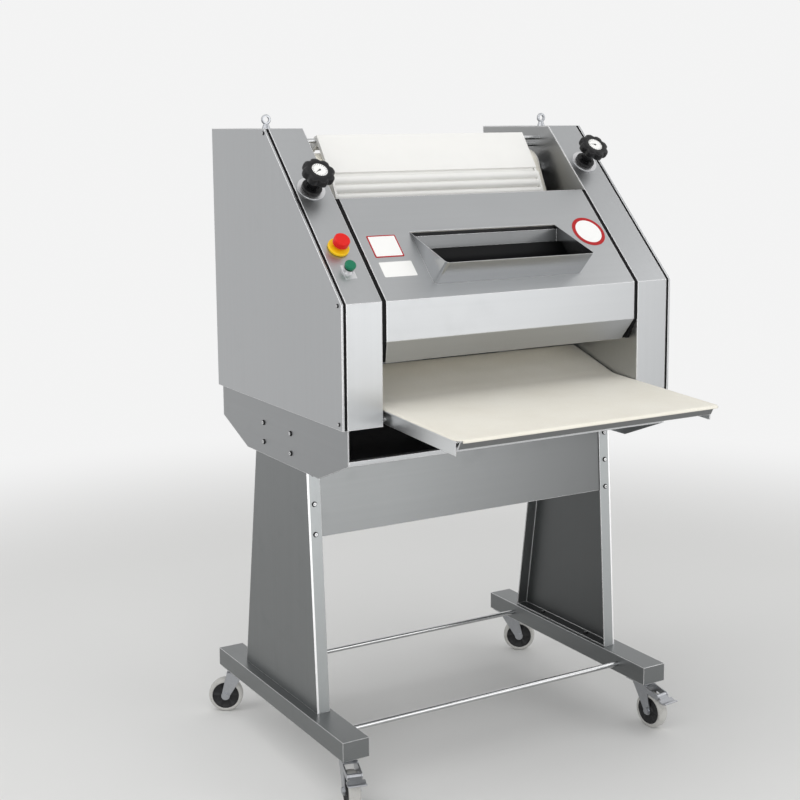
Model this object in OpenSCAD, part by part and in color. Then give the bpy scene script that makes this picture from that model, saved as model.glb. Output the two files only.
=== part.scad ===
// Baguette moulder on a wheeled stand. Millimetres, +Z up, the front faces -Y.
// The origin is on the floor, below the middle of the machine and its tray.

/* [Body] */
// Working width: width of the felt moulding belt
belt_w = 704; // [620:4:780]
// Gap between the belt's edge and the side walls
belt_gap = 30; // [22:1:50]
// Depth of the side housings
body_d = 730; // [700:5:780]
// Height of the flat top above the floor
body_top = 1640; // [1600:5:1680]
// Height of the side housings
body_h = 698; // [690:2:710]
// Depth of the slanted front
slope_run = 400; // [380:5:415]
// Height of the slanted front
slope_rise = 400; // [385:5:415]
// Width of the front strip of a side housing
pillar_w = 95; // [85:1:105]
// Sheet thickness of housings and covers
sheet_t = 2; // [1.5:0.5:3]
// Thickness of the steel plates that carry the rollers
frame_t = 8; // [6:1:12]
// Depth of the turned edge of a side panel
hem_d = 5; // [4:1:8]
// Width of the rubber strip behind a side panel
panel_gap = 8; // [6:1:12]
// Depth of the rubber strips, measured from the surface
seal_depth = 9; // [6:1:12]

/* [Front cover] */
// Length of the slanted part of the cover, from the bend
cover_rise = 325; // [300:5:340]
// Height of the upright part of the cover
cover_drop = 96; // [85:1:100]
// Height of the inward lip below the upright part
lip_h = 56; // [45:1:60]
// Depth of the inward lip
lip_in = 33; // [25:1:40]
// Corner cut at the ends of the lip
lip_corner = 15; // [8:1:25]
// Width of the rubber strip beside the cover
cover_gap = 12; // [10:1:16]
// Depth of the stiffening edge behind the cover
cover_edge = 18; // [16:1:22]
// Radius of the pivot studs that the cover swings on
pivot_r = 5; // [4:0.5:6]
// Depth of the pivot behind the upright front
pivot_y = 17; // [16:0.5:18]
// Height of the pivot below the bend
pivot_drop = 84; // [78:1:88]

/* [Feed hopper] */
// Width over the end plates of the hopper
hopper_w = 440; // [380:10:480]
// Distance of the hopper's front plate from the bend, along the slope
hopper_s0 = 40; // [36:1:50]
// Distance of the upper edge of the hopper opening from the bend
hopper_s1 = 207; // [200:1:215]
// Height of the front plate above the slope
hopper_h = 79; // [60:1:90]
// Open strip between the opening and the rear plate
hopper_slot = 15; // [10:1:20]
// Height of the hopper's rear plate
hopper_back = 32; // [20:1:40]
// Sheet thickness of the hopper
hopper_t = 1.5; // [1:0.5:2]
// Outer radius of the hopper's front corners
hopper_bend = 10; // [6:1:16]

/* [Controls] */
// Place of the left handwheel along the slope
left_wheel_s = 360; // [350:5:370]
// Place of the right handwheel along the slope
right_wheel_s = 426; // [415:1:440]
// Radius of a handwheel over its lobes
knob_r = 42; // [36:1:44]
// Number of lobes of a handwheel
knob_lobes = 8; // [6:1:10]
// Thickness of a handwheel's rim
knob_t = 24; // [18:1:28]
// Height of the dial face above the slope
dial_n = 68; // [62:1:80]
// Radius of the dial face
dial_r = 22; // [18:1:24]
// Radius of an adjusting spindle
spindle_r = 8; // [7:0.5:9]
// Depth of a spindle's end below the slope
spindle_depth = 165; // [155:5:175]
// Radius of the scale plate below a handwheel
scale_r = 36; // [32:1:40]
// Place of the stop button along the slope
stop_s = 168; // [150:1:185]
// Radius of the stop button's head
stop_r = 20; // [16:1:22]
// Travel of the stop button
stop_travel = 5; // [3:0.5:6]
// Place of the start button along the slope
start_s = 100; // [80:1:110]
// Radius of the start button
start_r = 14; // [12:0.5:16]
// Travel of the start button
start_travel = 3; // [2:0.5:4]

/* [Rollers and belt] */
// Radius of the belt rollers
belt_roller_r = 50; // [46:1:52]
// Thickness of the felt moulding belt
belt_t = 4; // [3:0.5:5]
// Depth of the upper belt roller's axis behind the front
top_roller_y = 452; // [446:1:460]
// Height of the flat top above the upper belt roller's axis
top_roller_drop = 118; // [114:1:126]
// Distance between the axes of the belt rollers
belt_centres = 456; // [440:1:460]
// Lean of the belt's front run from the upright
belt_lean = 26; // [25:0.5:27]
// Radius of the sheeting rollers
sheet_roller_r = 40; // [36:1:41]
// Depth of the front sheeting roller's axis behind the front
sheet_roller_y = 85; // [82:1:88]
// Height of the sheeting rollers' axes above the bend of the front
sheet_roller_rise = 5; // [0:1:10]
// Gap between the sheeting rollers at rest
sheet_gap = 6; // [4:0.5:10]
// Travel of the rear sheeting roller
sheet_travel = 18; // [10:1:20]
// Travel of the pressure board towards the belt
board_travel = 12; // [6:1:14]
// Radius of the roller journals
journal_r = 12.5; // [10:0.5:14]
// Radius of the drive pulleys
pulley_r = 40; // [34:1:44]
// Thickness of the drive belt
drive_belt_t = 6; // [4:0.5:8]
// Radius of the drive motor
motor_r = 70; // [60:1:76]
// Length of the drive motor
motor_l = 230; // [180:5:260]

/* [Belt guard] */
// Gap between the white guard plate's ends and the side walls
guard_gap = 60; // [42:1:80]
// Length of the guard plate
guard_l = 117; // [105:1:122]
// Lean of the guard plate from the level
guard_tilt = 54; // [52:0.5:56]
// Thickness of the guard plate
guard_t = 6; // [4:0.5:6]
// Radius of the guide bars below the guard plate
bar_r = 11; // [9:0.5:11.5]
// Spacing of the guide bars
bar_pitch = 24.5; // [23.5:0.5:27]

/* [Discharge tray] */
// Reach of the tray in front of the machine
tray_reach = 316; // [250:2:340]
// Height of the felt surface at the front edge above the housings' lower edge
tray_lift = 27; // [24:1:32]
// Gap between the tray's edges and the side walls
tray_gap = 4; // [2:1:22]
// Fall of the tray towards the front, in degrees
tray_fall = 2.75; // [2:0.25:3.5]
// Depth behind the front at which the tray bends upward
tray_bend = 89; // [80:1:95]
// Rise of the tray's rear part, in degrees
tray_rise = 17; // [15:0.5:18]
// Length of the tray's rear part
tray_back = 186; // [150:2:190]
// Thickness of the tray's felt
felt_t = 4; // [3:0.5:5]
// Thickness of the tray's sheet
tray_t = 3; // [2:0.5:4]
// Height of the runners below the tray
runner_h = 9; // [7:0.5:11]
// Height of the tray rails
rail_h = 25; // [20:1:28]
// Length of the rails in front of the machine
rail_reach = 300; // [230:2:320]

/* [Stand] */
// Height of the base cheeks
cheek_h = 147; // [137:1:157]
// Height of the cheeks at their front and rear edges
cheek_edge = 86; // [80:1:92]
// Height of the front edge of the base floor
floor_edge = 11; // [8:1:14]
// Length of the slanted lower edge of a cheek
cheek_corner = 157; // [120:1:180]
// Thickness of the cheeks, legs and aprons
plate_t = 3; // [2:0.5:4]
// Depth of the front of a leg behind the front, at the foot
leg_front = 189; // [185:1:195]
// Depth of the rear of a leg behind the front, at the foot
leg_rear = 621; // [610:1:630]
// Lean of the leg's front edge per unit of height
leg_lean_front = 0.0615; // [0.05:0.0005:0.07]
// Lean of the leg's rear edge per unit of height
leg_lean_rear = 0.1537; // [0.14:0.0005:0.165]
// Depth of the leg's turned edges
leg_edge = 36; // [32:1:40]
// Height of the aprons below the base floor
apron_h = 232; // [216:1:256]
// Width of a foot beam
beam_w = 72; // [68:1:80]
// Height of a foot beam
beam_h = 49; // [45:1:55]
// Length of a foot beam
beam_l = 750; // [730:5:770]
// Distance of the foot beams' front end behind the front
beam_inset = 3; // [0:1:10]
// Distance of the foot beams' axis inside the legs' outer faces
beam_set = 10; // [6:1:12]
// Wall of a foot beam
beam_wall = 3; // [2:0.5:4]
// Radius of the tie rods
rod_r = 7; // [6:0.5:9]
// Depth of the front tie rod behind the front
front_rod_y = 118; // [110:1:130]
// Depth of the rear tie rod behind the front
rear_rod_y = 623; // [600:1:640]

/* [Casters] */
// Height of a caster
caster_h = 128; // [124:1:132]
// Radius of a caster wheel
wheel_r = 48; // [46:1:49]
// Width of a caster wheel
wheel_w = 30; // [26:1:32]
// Trail of a caster wheel
trail = 35; // [32:1:37]
// Distance of a caster's axis from the end of its beam
caster_end = 45; // [40:1:50]
// Radius of a caster axle
axle_r = 6; // [5:0.5:7]

/* [Hidden] */
$fn = 48;
// Clearances: running fit, moving bodies, bolt in its hole
run_fit = 0.05;
move_gap = 0.3;
bolt_gap = 0.1;

// Colours
steel = [0.66, 0.67, 0.68];
dark_steel = [0.42, 0.44, 0.45];
bright = [0.82, 0.83, 0.84];
black = [0.05, 0.05, 0.05];
cream = [0.90, 0.88, 0.80];
white = [0.93, 0.93, 0.90];

// Main planes across the machine, measured from the middle
wall_x = belt_w / 2 + belt_gap;
house_x = wall_x + pillar_w;
panel_x = house_x + panel_gap + hem_d;
plate_x = wall_x + frame_t;
cover_half = wall_x - cover_gap;
bay_x = (plate_x + house_x) / 2;

// Main heights above the floor, and the widths between the walls
bend_z = body_top - slope_rise;
body_bottom = body_top - body_h;
floor_z = body_bottom - cheek_edge;
cheek_bottom = body_bottom - cheek_h;
apron_z = floor_z - apron_h;
tray_z = body_bottom + tray_lift;
top_roller_z = body_top - top_roller_drop;
sheet_roller_z = bend_z + sheet_roller_rise;
tray_w = 2 * (wall_x - tray_gap);
guard_w = 2 * (wall_x - guard_gap);

// The whole depth, tray to rear end of the beams, is centred on the origin
total_d = tray_reach + beam_inset + beam_l;
front_y = tray_reach - total_d / 2;

// Slanted front
slope_a = atan2(slope_rise, slope_run);
inward = [sin(slope_a), -cos(slope_a)];
slope_dir = [cos(slope_a), sin(slope_a)];
slope_out = [-sin(slope_a), cos(slope_a)];
function slope_point(s, n = 0) = [0, bend_z] + s * slope_dir + n * slope_out;

// Side outline of the housings as depth and height
body_profile = [
    [0, body_bottom],
    [0, bend_z],
    [slope_run, body_top],
    [body_d, body_top],
    [body_d, body_bottom]
];

// Front cover outline from its upper edge to the lip
lip_z = bend_z - cover_drop - lip_h;
cover_path = [
    slope_point(cover_rise),
    [0, bend_z],
    [0, bend_z - cover_drop],
    [lip_in, lip_z]
];
pivot = [pivot_y, bend_z - pivot_drop];

// Belt geometry
belt_dir = [-sin(belt_lean), -cos(belt_lean)];
belt_out = [-cos(belt_lean), sin(belt_lean)];
top_roller = [top_roller_y, top_roller_z];
drive_roller = top_roller + belt_centres * belt_dir;
belt_in_r = belt_roller_r + move_gap;
belt_out_r = belt_in_r + belt_t;
front_roller = [sheet_roller_y, sheet_roller_z];
rear_roller = front_roller + [2 * sheet_roller_r + sheet_gap, 0];
roller_face = belt_w + 8;
bearing_t = 13;
bearing_r = journal_r + 20;
journal_end = plate_x + bearing_t + 2;
pulley_x = plate_x + 33;
pulley_w = 20;
pulley_end = pulley_x + pulley_w / 2;
// The front sheeting roller is turned the other way by the back of the drive belt
nip_pulley_r = 2 * sheet_roller_r + sheet_gap - pulley_r - drive_belt_t - 2 * move_gap;
motor_axis = [body_d - 140, body_bottom + 98];

// Carriage of the rear sheeting roller
tie_point = rear_roller + [46, 90];
tie_r = 8;
left_nut = slope_point(left_wheel_s, -spindle_depth + 30);
link_w = 34;
carriage_t = 9;
carriage_x = plate_x + move_gap;

// Pressure board below the sheeting rollers
board_gap = 30;
board_t = 3;
board_high = drive_roller + (belt_out_r + board_gap) * belt_out;
board_low = board_high + [-10, -50];
board_catch = [sheet_roller_y - 32, sheet_roller_z - 62];
board_rod = board_high + [-5, -25] + (board_t + 8) * [-0.98, 0.2];
right_nut = slope_point(right_wheel_s, -spindle_depth + 30);
arm_x = carriage_x + carriage_t + 2;
arm_t = 8;
nut_r = spindle_r + 9;

// Guard plate and guide bars above the belt
guard_dir = [cos(guard_tilt), sin(guard_tilt)];
guard_out = [-sin(guard_tilt), cos(guard_tilt)];
guard_low = top_roller + (belt_out_r + guard_t + 8) * guard_out - 0.36 * guard_l * guard_dir;
guard_rod_r = 6;
guard_end_t = 6;
guard_rib = 5;
guard_rods_at = [
    guard_low + 0.93 * guard_l * guard_dir - (guard_t + guard_rod_r + 2) * guard_out,
    guard_low + 0.93 * guard_l * guard_dir - (guard_t + guard_rod_r + 34) * guard_out
];
bar_end_r = 5;
bar_first = top_roller + 50 * belt_dir + (belt_out_r + bar_r + 2.5) * belt_out;

// Tray geometry: path of the felt's upper face from the front edge to the rear
tray_dir = [cos(tray_fall), sin(tray_fall)];
tray_up = [-sin(tray_fall), cos(tray_fall)];
tray_flat = (tray_reach + tray_bend) / cos(tray_fall);
tray_path = [
    [-tray_reach, tray_z],
    [-tray_reach, tray_z] + tray_flat * tray_dir,
    [-tray_reach, tray_z] + tray_flat * tray_dir + tray_back * [cos(tray_rise), sin(tray_rise)]
];
rail_x = tray_w / 2 - 9;
rail_leaf = 26;
rail_top = felt_t + tray_t + move_gap;
rail_drop = rail_top + runner_h;
rail_back = tray_bend + 20;
runner_w = 12;
runner_x = rail_x - 7;

// Stand geometry
beam_top = caster_h + beam_h;
leg_x = house_x - plate_t;
beam_x = leg_x - beam_set;
floor_top = floor_z + floor_edge;
leg_top = floor_top - plate_t;
function leg_front_y(z) = leg_front + (z - beam_top) * leg_lean_front;
function leg_rear_y(z) = leg_rear - (z - beam_top) * leg_lean_rear;
leg_profile = [
    [leg_front, beam_top],
    [leg_front_y(leg_top), leg_top],
    [leg_rear_y(leg_top), leg_top],
    [leg_rear, beam_top]
];
bolt_r = 4;
bolt_head_r = 7;
bolt_head_h = 4;
flange_bolt_x = leg_x - leg_edge / 2;
apron_bolts = [for (i = [0:2]) apron_z + 12 + 77 * i];
cheek_profile = [
    [0, body_bottom],
    [body_d, body_bottom],
    [body_d, floor_z],
    [body_d - cheek_corner, cheek_bottom],
    [cheek_corner, cheek_bottom],
    [0, floor_z]
];
cheek_bolt_y = [leg_front_y(floor_z) + 76, leg_rear_y(floor_z) - 50];
cheek_bolt_z = [floor_z - 27, floor_z + 24];
foot_bolt_y = [leg_front + 110, leg_rear - 110];

// Casters: name, side, depth of the swivel axis, heading of the trail in degrees, brake
front_caster_y = beam_inset + caster_end;
rear_caster_y = beam_inset + beam_l - caster_end;
heading_fl = 255;
heading_fr = 275;
heading_rl = 150;
heading_rr = 323;
caster_plate_t = 4;
race_h = 8;
race_r = 20;
king_r = 6;
crown_t = 4;
crown_top = caster_h - caster_plate_t - race_h - move_gap;
fork_gap = wheel_w + 3;
fork_t = 3;
pedal_point = [trail + 34, wheel_r + 50];
pedal_pin_r = 4;

// Outline helpers
function unit(v) = v / norm(v);
function inner_normal(a, b) = let (u = unit(b - a)) [u[1], -u[0]];
function mitre(n1, n2) = (n1 + n2) / (1 + n1 * n2);
function inset(pts, d) = [
    for (i = [0:len(pts) - 1])
        let (p = pts[(i + len(pts) - 1) % len(pts)], q = pts[i], r = pts[(i + 1) % len(pts)])
            q + d * mitre(inner_normal(p, q), inner_normal(q, r))
];
// An open path moved sideways, to the left of its own direction for a positive distance
function beside(pts, d) = [
    for (i = [0:len(pts) - 1])
        let (
            n1 = -inner_normal(pts[max(i - 1, 0)], pts[max(i, 1)]),
            n2 = -inner_normal(pts[min(i, len(pts) - 2)], pts[min(i + 1, len(pts) - 1)])
        )
            pts[i] + d * mitre(n1, n2)
];
function backwards(pts) = [for (i = [len(pts) - 1:-1:0]) pts[i]];

// A strip between two distances from a path
module strip(path, near, far) {
    polygon(concat(beside(path, near), backwards(beside(path, far))));
}

// A depth and height outline, drawn out across the machine
module across(x0, x1) {
    translate([x0, 0, 0])
        rotate([90, 0, 90])
            linear_extrude(x1 - x0)
                children();
}

// A rod across the machine at a depth and height
module rod_across(at, r, x0, x1) {
    translate([x0, at[0], at[1]])
        rotate([0, 90, 0])
            cylinder(r = r, h = x1 - x0);
}

// A bar with round ends between two points
module bar_2d(p, q, w) {
    d = q - p;
    waist = 0.98 * w;
    translate(p)
        rotate(atan2(d[1], d[0]))
            translate([0, -waist / 2])
                square([norm(d), waist]);
    translate(p)
        circle(d = w);
    translate(q)
        circle(d = w);
}

// Depth is measured from the upright front face
module from_front() {
    translate([0, front_y, 0])
        children();
}

// The drawn shape is on the right; side -1 gives its mirror image on the left
module on_side(side) {
    mirror([side < 0 ? 1 : 0, 0, 0])
        children();
}

// A place on the slanted front: Y runs up the slope, Z points out of it
module on_slope(x, s) {
    translate([x, 0, bend_z])
        rotate([slope_a, 0, 0])
            translate([0, s, 0])
                children();
}

// A bolt along X with its head outside, the shank pointing to the middle
module bolt_x(at, x, shank) {
    translate([x, at[0], at[1]])
        rotate([0, 90, 0])
            cylinder(r1 = bolt_head_r, r2 = bolt_head_r - 2, h = bolt_head_h);
    rod_across(at, bolt_r, x - shank, x);
}

// A place on a leg's front or rear edge, with Z pointing out of the flange
module on_leg_edge(x, z, rear) {
    lean = rear ? atan(leg_lean_rear) : atan(leg_lean_front);
    translate([x, rear ? leg_rear_y(z) : leg_front_y(z), z])
        rotate([rear ? -90 + lean : 90 - lean, 0, 0])
            children();
}

// Stand

module foot_beam(side) {
    on_side(side)
        difference() {
            translate([beam_x - beam_w / 2, beam_inset, caster_h])
                cube([beam_w, beam_l, beam_h]);
            translate([beam_x - beam_w / 2 + beam_wall, beam_inset + beam_wall, caster_h + beam_wall])
                cube([beam_w - 2 * beam_wall, beam_l - 2 * beam_wall, beam_h - 2 * beam_wall]);
            for (y = [front_caster_y, rear_caster_y])
                translate([beam_x, y, caster_h - 1])
                    cylinder(r = king_r + 2, h = beam_wall + 2);
            for (y = foot_bolt_y)
                translate([flange_bolt_x, y, beam_top - beam_wall - 1])
                    cylinder(r = bolt_r + bolt_gap, h = beam_wall + 2);
        }
}

module left_foot_beam() {
    color(dark_steel)
        from_front()
            foot_beam(-1);
}

module right_foot_beam() {
    color(dark_steel)
        from_front()
            foot_beam(1);
}

// A pressed channel: web outside, turned edges and foot towards the middle
module leg(side) {
    inner = inset(leg_profile, plate_t);
    on_side(side)
        difference() {
            across(leg_x - leg_edge, leg_x)
                polygon(leg_profile);
            across(leg_x - leg_edge - 1, leg_x - plate_t)
                polygon([
                    inner[0],
                    inner[1] + 9 * [leg_lean_front, 1],
                    inner[2] + 9 * [-leg_lean_rear, 1],
                    inner[3]
                ]);
            for (rear = [false, true])
                for (z = apron_bolts)
                    on_leg_edge(flange_bolt_x, z, rear)
                        translate([0, 0, -plate_t - 2])
                            cylinder(r = bolt_r + bolt_gap, h = plate_t + 4);
            for (y = foot_bolt_y)
                translate([flange_bolt_x, y, beam_top - 1])
                    cylinder(r = bolt_r + bolt_gap, h = plate_t + 2);
            for (y = cheek_bolt_y)
                rod_across([y, cheek_bolt_z[0]], bolt_r + bolt_gap, leg_x - plate_t - 1, leg_x + 1);
        }
}

module left_leg() {
    color(steel)
        from_front()
            leg(-1);
}

module right_leg() {
    color(steel)
        from_front()
            leg(1);
}

// Plates with a turned lower edge, bolted behind the legs' turned edges
module apron(rear) {
    y = function (z) rear ? leg_rear_y(z) : leg_front_y(z);
    turn = rear ? -1 : 1;
    path = [
        [y(leg_top), leg_top],
        [y(apron_z), apron_z],
        [y(apron_z) + turn * 25, apron_z]
    ];
    difference() {
        across(-leg_x + plate_t, leg_x - plate_t)
            strip(path, turn * plate_t, turn * 2 * plate_t);
        for (side = [-1, 1])
            for (z = apron_bolts)
                on_leg_edge(side * flange_bolt_x, z, rear)
                    translate([0, 0, -4 * plate_t])
                        cylinder(r = bolt_r + bolt_gap, h = 4 * plate_t);
    }
}

module aprons() {
    color(steel)
        from_front() {
            apron(false);
            apron(true);
        }
}

module tie_rods() {
    reach = beam_x - beam_w / 2;
    color(bright)
        from_front()
            for (y = [front_rod_y, rear_rod_y])
                rod_across([y, caster_h + beam_h / 2], rod_r, -reach, reach);
}

module stand_bolts() {
    color(bright)
        from_front()
            for (side = [-1, 1])
                on_side(side) {
                    for (y = cheek_bolt_y)
                        for (z = cheek_bolt_z)
                            bolt_x([y, z], house_x, 2 * plate_t + 4);
                    for (rear = [false, true])
                        for (z = apron_bolts)
                            on_leg_edge(flange_bolt_x, z, rear) {
                                cylinder(r1 = bolt_head_r, r2 = bolt_head_r - 2, h = bolt_head_h);
                                translate([0, 0, -2 * plate_t - 4])
                                    cylinder(r = bolt_r, h = 2 * plate_t + 4);
                            }
                    for (y = foot_bolt_y)
                        translate([flange_bolt_x, y, beam_top + plate_t]) {
                            cylinder(r1 = bolt_head_r, r2 = bolt_head_r - 2, h = bolt_head_h);
                            translate([0, 0, -plate_t - beam_wall - 4])
                                cylinder(r = bolt_r, h = plate_t + beam_wall + 4);
                        }
                }
}

// Casters

module at_caster(side, y) {
    from_front()
        translate([side * beam_x, y, 0])
            children();
}

module caster_plate() {
    plate_w = beam_w - 6;
    translate([-plate_w / 2, -plate_w / 2, caster_h - caster_plate_t])
        cube([plate_w, plate_w, caster_plate_t]);
    translate([0, 0, caster_h - caster_plate_t - race_h])
        cylinder(r = race_r, h = race_h);
    translate([0, 0, crown_top - crown_t - 4])
        cylinder(r = king_r, h = caster_h - crown_top + crown_t);
    translate([0, 0, crown_top - crown_t - move_gap - 4])
        cylinder(r = king_r + 4, h = 4);
}

module caster_plates() {
    color(bright)
        for (side = [-1, 1])
            for (y = [front_caster_y, rear_caster_y])
                at_caster(side, y)
                    caster_plate();
}

// The fork stands with its trail along +X
module caster_fork(heading, brake) {
    boss = axle_r + 6;
    crown_low = crown_top - crown_t;
    rotate(heading) {
        difference() {
            translate([-race_r, -fork_gap / 2 - fork_t, crown_low])
                cube([2 * race_r + 10, fork_gap + 2 * fork_t, crown_t]);
            translate([0, 0, crown_low - 1])
                cylinder(r = king_r + run_fit, h = crown_t + 2);
        }
        for (v = [-1, 1])
            translate([0, v * (fork_gap + fork_t) / 2 + fork_t / 2, 0])
                rotate([90, 0, 0])
                    linear_extrude(fork_t) {
                        polygon([
                            [-race_r, crown_top],
                            [race_r + 10, crown_top],
                            [trail + boss, wheel_r],
                            [trail - boss, wheel_r]
                        ]);
                        translate([trail, wheel_r])
                            circle(boss);
                        if (brake)
                            bar_2d([race_r + 2, crown_top - 8], pedal_point, 16);
                    }
        translate([trail, fork_gap / 2 + fork_t + 4, wheel_r])
            rotate([90, 0, 0])
                cylinder(r = axle_r, h = fork_gap + 2 * fork_t + 8);
        for (v = [0, 1])
            mirror([0, v, 0])
                translate([trail, fork_gap / 2 + fork_t + 4, wheel_r])
                    rotate([90, 0, 0])
                        cylinder(r = axle_r + 3, h = 4);
        if (brake)
            translate([pedal_point[0], fork_gap / 2 + fork_t, pedal_point[1]])
                rotate([90, 0, 0])
                    cylinder(r = pedal_pin_r, h = fork_gap + 2 * fork_t);
    }
}

module caster_fork_fl() {
    color(bright)
        at_caster(-1, front_caster_y)
            caster_fork(heading_fl, true);
}

module caster_fork_fr() {
    color(bright)
        at_caster(1, front_caster_y)
            caster_fork(heading_fr, true);
}

module caster_fork_rl() {
    color(bright)
        at_caster(-1, rear_caster_y)
            caster_fork(heading_rl, false);
}

module caster_fork_rr() {
    color(bright)
        at_caster(1, rear_caster_y)
            caster_fork(heading_rr, false);
}

// A dished wheel with a rounded tread, bonded to its hub
module caster_wheel(heading) {
    half = wheel_w / 2;
    round_r = 7;
    rotate(heading)
        translate([trail, 0, wheel_r])
            rotate([90, 0, 0])
                rotate_extrude($fn = 72)
                    difference() {
                        union() {
                            translate([0, -half])
                                square([wheel_r - round_r, wheel_w]);
                            translate([0, -half + round_r])
                                square([wheel_r, wheel_w - 2 * round_r]);
                            for (v = [-1, 1])
                                translate([wheel_r - round_r, v * (half - round_r)])
                                    circle(round_r);
                        }
                        translate([-1, -half - 1])
                            square([axle_r + run_fit + 1, wheel_w + 2]);
                        for (v = [0, 1])
                            mirror([0, v])
                                translate([axle_r + 8, half - 5])
                                    square([wheel_r - axle_r - 24, 6]);
                    }
}

module caster_wheel_fl() {
    color(cream)
        at_caster(-1, front_caster_y)
            caster_wheel(heading_fl);
}

module caster_wheel_fr() {
    color(cream)
        at_caster(1, front_caster_y)
            caster_wheel(heading_fr);
}

module caster_wheel_rl() {
    color(cream)
        at_caster(-1, rear_caster_y)
            caster_wheel(heading_rl);
}

module caster_wheel_rr() {
    color(cream)
        at_caster(1, rear_caster_y)
            caster_wheel(heading_rr);
}

// A lever on a sleeve, with a wide tread beyond the fork
module brake_pedal(heading) {
    sleeve_r = pedal_pin_r + 3;
    width = fork_gap - 1.2;
    tread = fork_gap + 2 * fork_t + 8;
    rotate(heading)
        translate([pedal_point[0], 0, pedal_point[1]])
            rotate([90, 0, 0])
                difference() {
                    union() {
                        translate([0, 0, -width / 2])
                            linear_extrude(width) {
                                circle(sleeve_r);
                                bar_2d([2, 1], [26, -10], 4);
                            }
                        translate([0, 0, -tread / 2])
                            linear_extrude(tread) {
                                bar_2d([16, -5.4], [26, -10], 4);
                                bar_2d([26, -10], [38, -8], 4);
                            }
                    }
                    translate([0, 0, -width / 2 - 1])
                        cylinder(r = pedal_pin_r + run_fit, h = width + 2);
                }
}

module brake_pedal_fl() {
    color(bright)
        at_caster(-1, front_caster_y)
            brake_pedal(heading_fl);
}

module brake_pedal_fr() {
    color(bright)
        at_caster(1, front_caster_y)
            brake_pedal(heading_fr);
}

// Base

module base_cheeks() {
    color(dark_steel)
        from_front()
            for (side = [-1, 1])
                on_side(side)
                    difference() {
                        across(leg_x, house_x)
                            polygon(cheek_profile);
                        for (y = cheek_bolt_y)
                            for (z = cheek_bolt_z)
                                rod_across([y, z], bolt_r + bolt_gap, leg_x - 1, house_x + 1);
                    }
}

// Floor with a front edge, a rear wall and side tabs for the upper cheek bolts
module base_floor() {
    tab = 22;
    rear = body_d - plate_t;
    path = [[0, floor_z], [0, floor_top], [rear, floor_top], [rear, body_bottom]];
    color(dark_steel)
        from_front()
            difference() {
                union() {
                    across(-leg_x, leg_x)
                        strip(path, -plate_t, 0);
                    for (side = [-1, 1])
                        on_side(side)
                            translate([leg_x - plate_t, cheek_bolt_y[0] - tab, floor_top - plate_t])
                                cube([plate_t, cheek_bolt_y[1] - cheek_bolt_y[0] + 2 * tab, 2 * tab]);
                }
                for (side = [-1, 1])
                    on_side(side)
                        for (y = cheek_bolt_y)
                            rod_across([y, cheek_bolt_z[1]], bolt_r + bolt_gap, leg_x - 9, leg_x + 1);
            }
}

// Body

// A slot across the frame plate along the adjusting direction
module travel_slot(at, r, travel) {
    bar_2d(at - 2 * inward, at + (travel + 2) * inward, 2 * r + 3);
}

module frame_plate(side) {
    on_side(side) {
        across(wall_x, plate_x)
            difference() {
                polygon(inset(body_profile, sheet_t));
                for (p = [top_roller, drive_roller, front_roller])
                    translate(p)
                        circle(journal_r + 2);
                if (side > 0)
                    translate(motor_axis)
                        circle(journal_r + 2);
                travel_slot(rear_roller, journal_r, sheet_travel);
                travel_slot(tie_point, tie_r, sheet_travel);
                travel_slot(board_rod, tie_r, board_travel);
                for (p = guard_rods_at)
                    translate(p)
                        circle(guard_rod_r + bolt_gap);
            }
        rod_across(pivot, pivot_r, cover_half - sheet_t - 4, wall_x);
    }
}

module left_frame_plate() {
    color(steel)
        from_front()
            frame_plate(-1);
}

module right_frame_plate() {
    color(steel)
        from_front()
            frame_plate(1);
}

// A bent strip all round the side outline, with holes for what stands on it
module housing(side, wheel_s) {
    difference() {
        on_side(side)
            across(wall_x, house_x)
                difference() {
                    polygon(body_profile);
                    polygon(inset(body_profile, sheet_t));
                }
        on_slope(side * bay_x, wheel_s)
            translate([0, 0, -2 * sheet_t])
                cylinder(r = spindle_r + 4, h = 4 * sheet_t);
        translate([side * bay_x, eye_y, body_top - 2 * sheet_t])
            cylinder(r = eye_stud_r + bolt_gap, h = 4 * sheet_t);
        if (side < 0) {
            on_slope(-bay_x, stop_s)
                translate([0, 0, -2 * sheet_t])
                    cylinder(r = stop_body_r + bolt_gap, h = 4 * sheet_t);
            on_slope(-bay_x, start_s)
                translate([0, 0, -2 * sheet_t])
                    cylinder(r = start_body_r + bolt_gap, h = 4 * sheet_t);
        }
    }
}

module left_housing() {
    color(steel)
        from_front()
            housing(-1, left_wheel_s);
}

module right_housing() {
    color(steel)
        from_front()
            housing(1, right_wheel_s);
}

// A flat outer panel with its edges turned in
screw_r = 3;
screw_places = [
    [slope_run + 4, body_top - 11],
    [18, bend_z - 4],
    [18, body_bottom + 14]
];

module side_panel(side) {
    on_side(side)
        difference() {
            union() {
                across(panel_x - sheet_t, panel_x)
                    polygon(body_profile);
                across(panel_x - hem_d, panel_x - sheet_t)
                    difference() {
                        polygon(body_profile);
                        polygon(inset(body_profile, sheet_t));
                    }
            }
            for (p = screw_places)
                rod_across(p, screw_r + bolt_gap, panel_x - sheet_t - 1, panel_x + 1);
        }
}

module left_side_panel() {
    color(steel)
        from_front()
            side_panel(-1);
}

module right_side_panel() {
    color(steel)
        from_front()
            side_panel(1);
}

module rubber_seals() {
    color(black)
        from_front()
            for (side = [-1, 1])
                on_side(side) {
                    across(house_x, panel_x - hem_d)
                        difference() {
                            polygon(inset(body_profile, 1));
                            polygon(inset(body_profile, 1 + seal_depth));
                        }
                    across(cover_half + move_gap, wall_x)
                        strip(cover_path, 1, 1 + seal_depth);
                }
}

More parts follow.
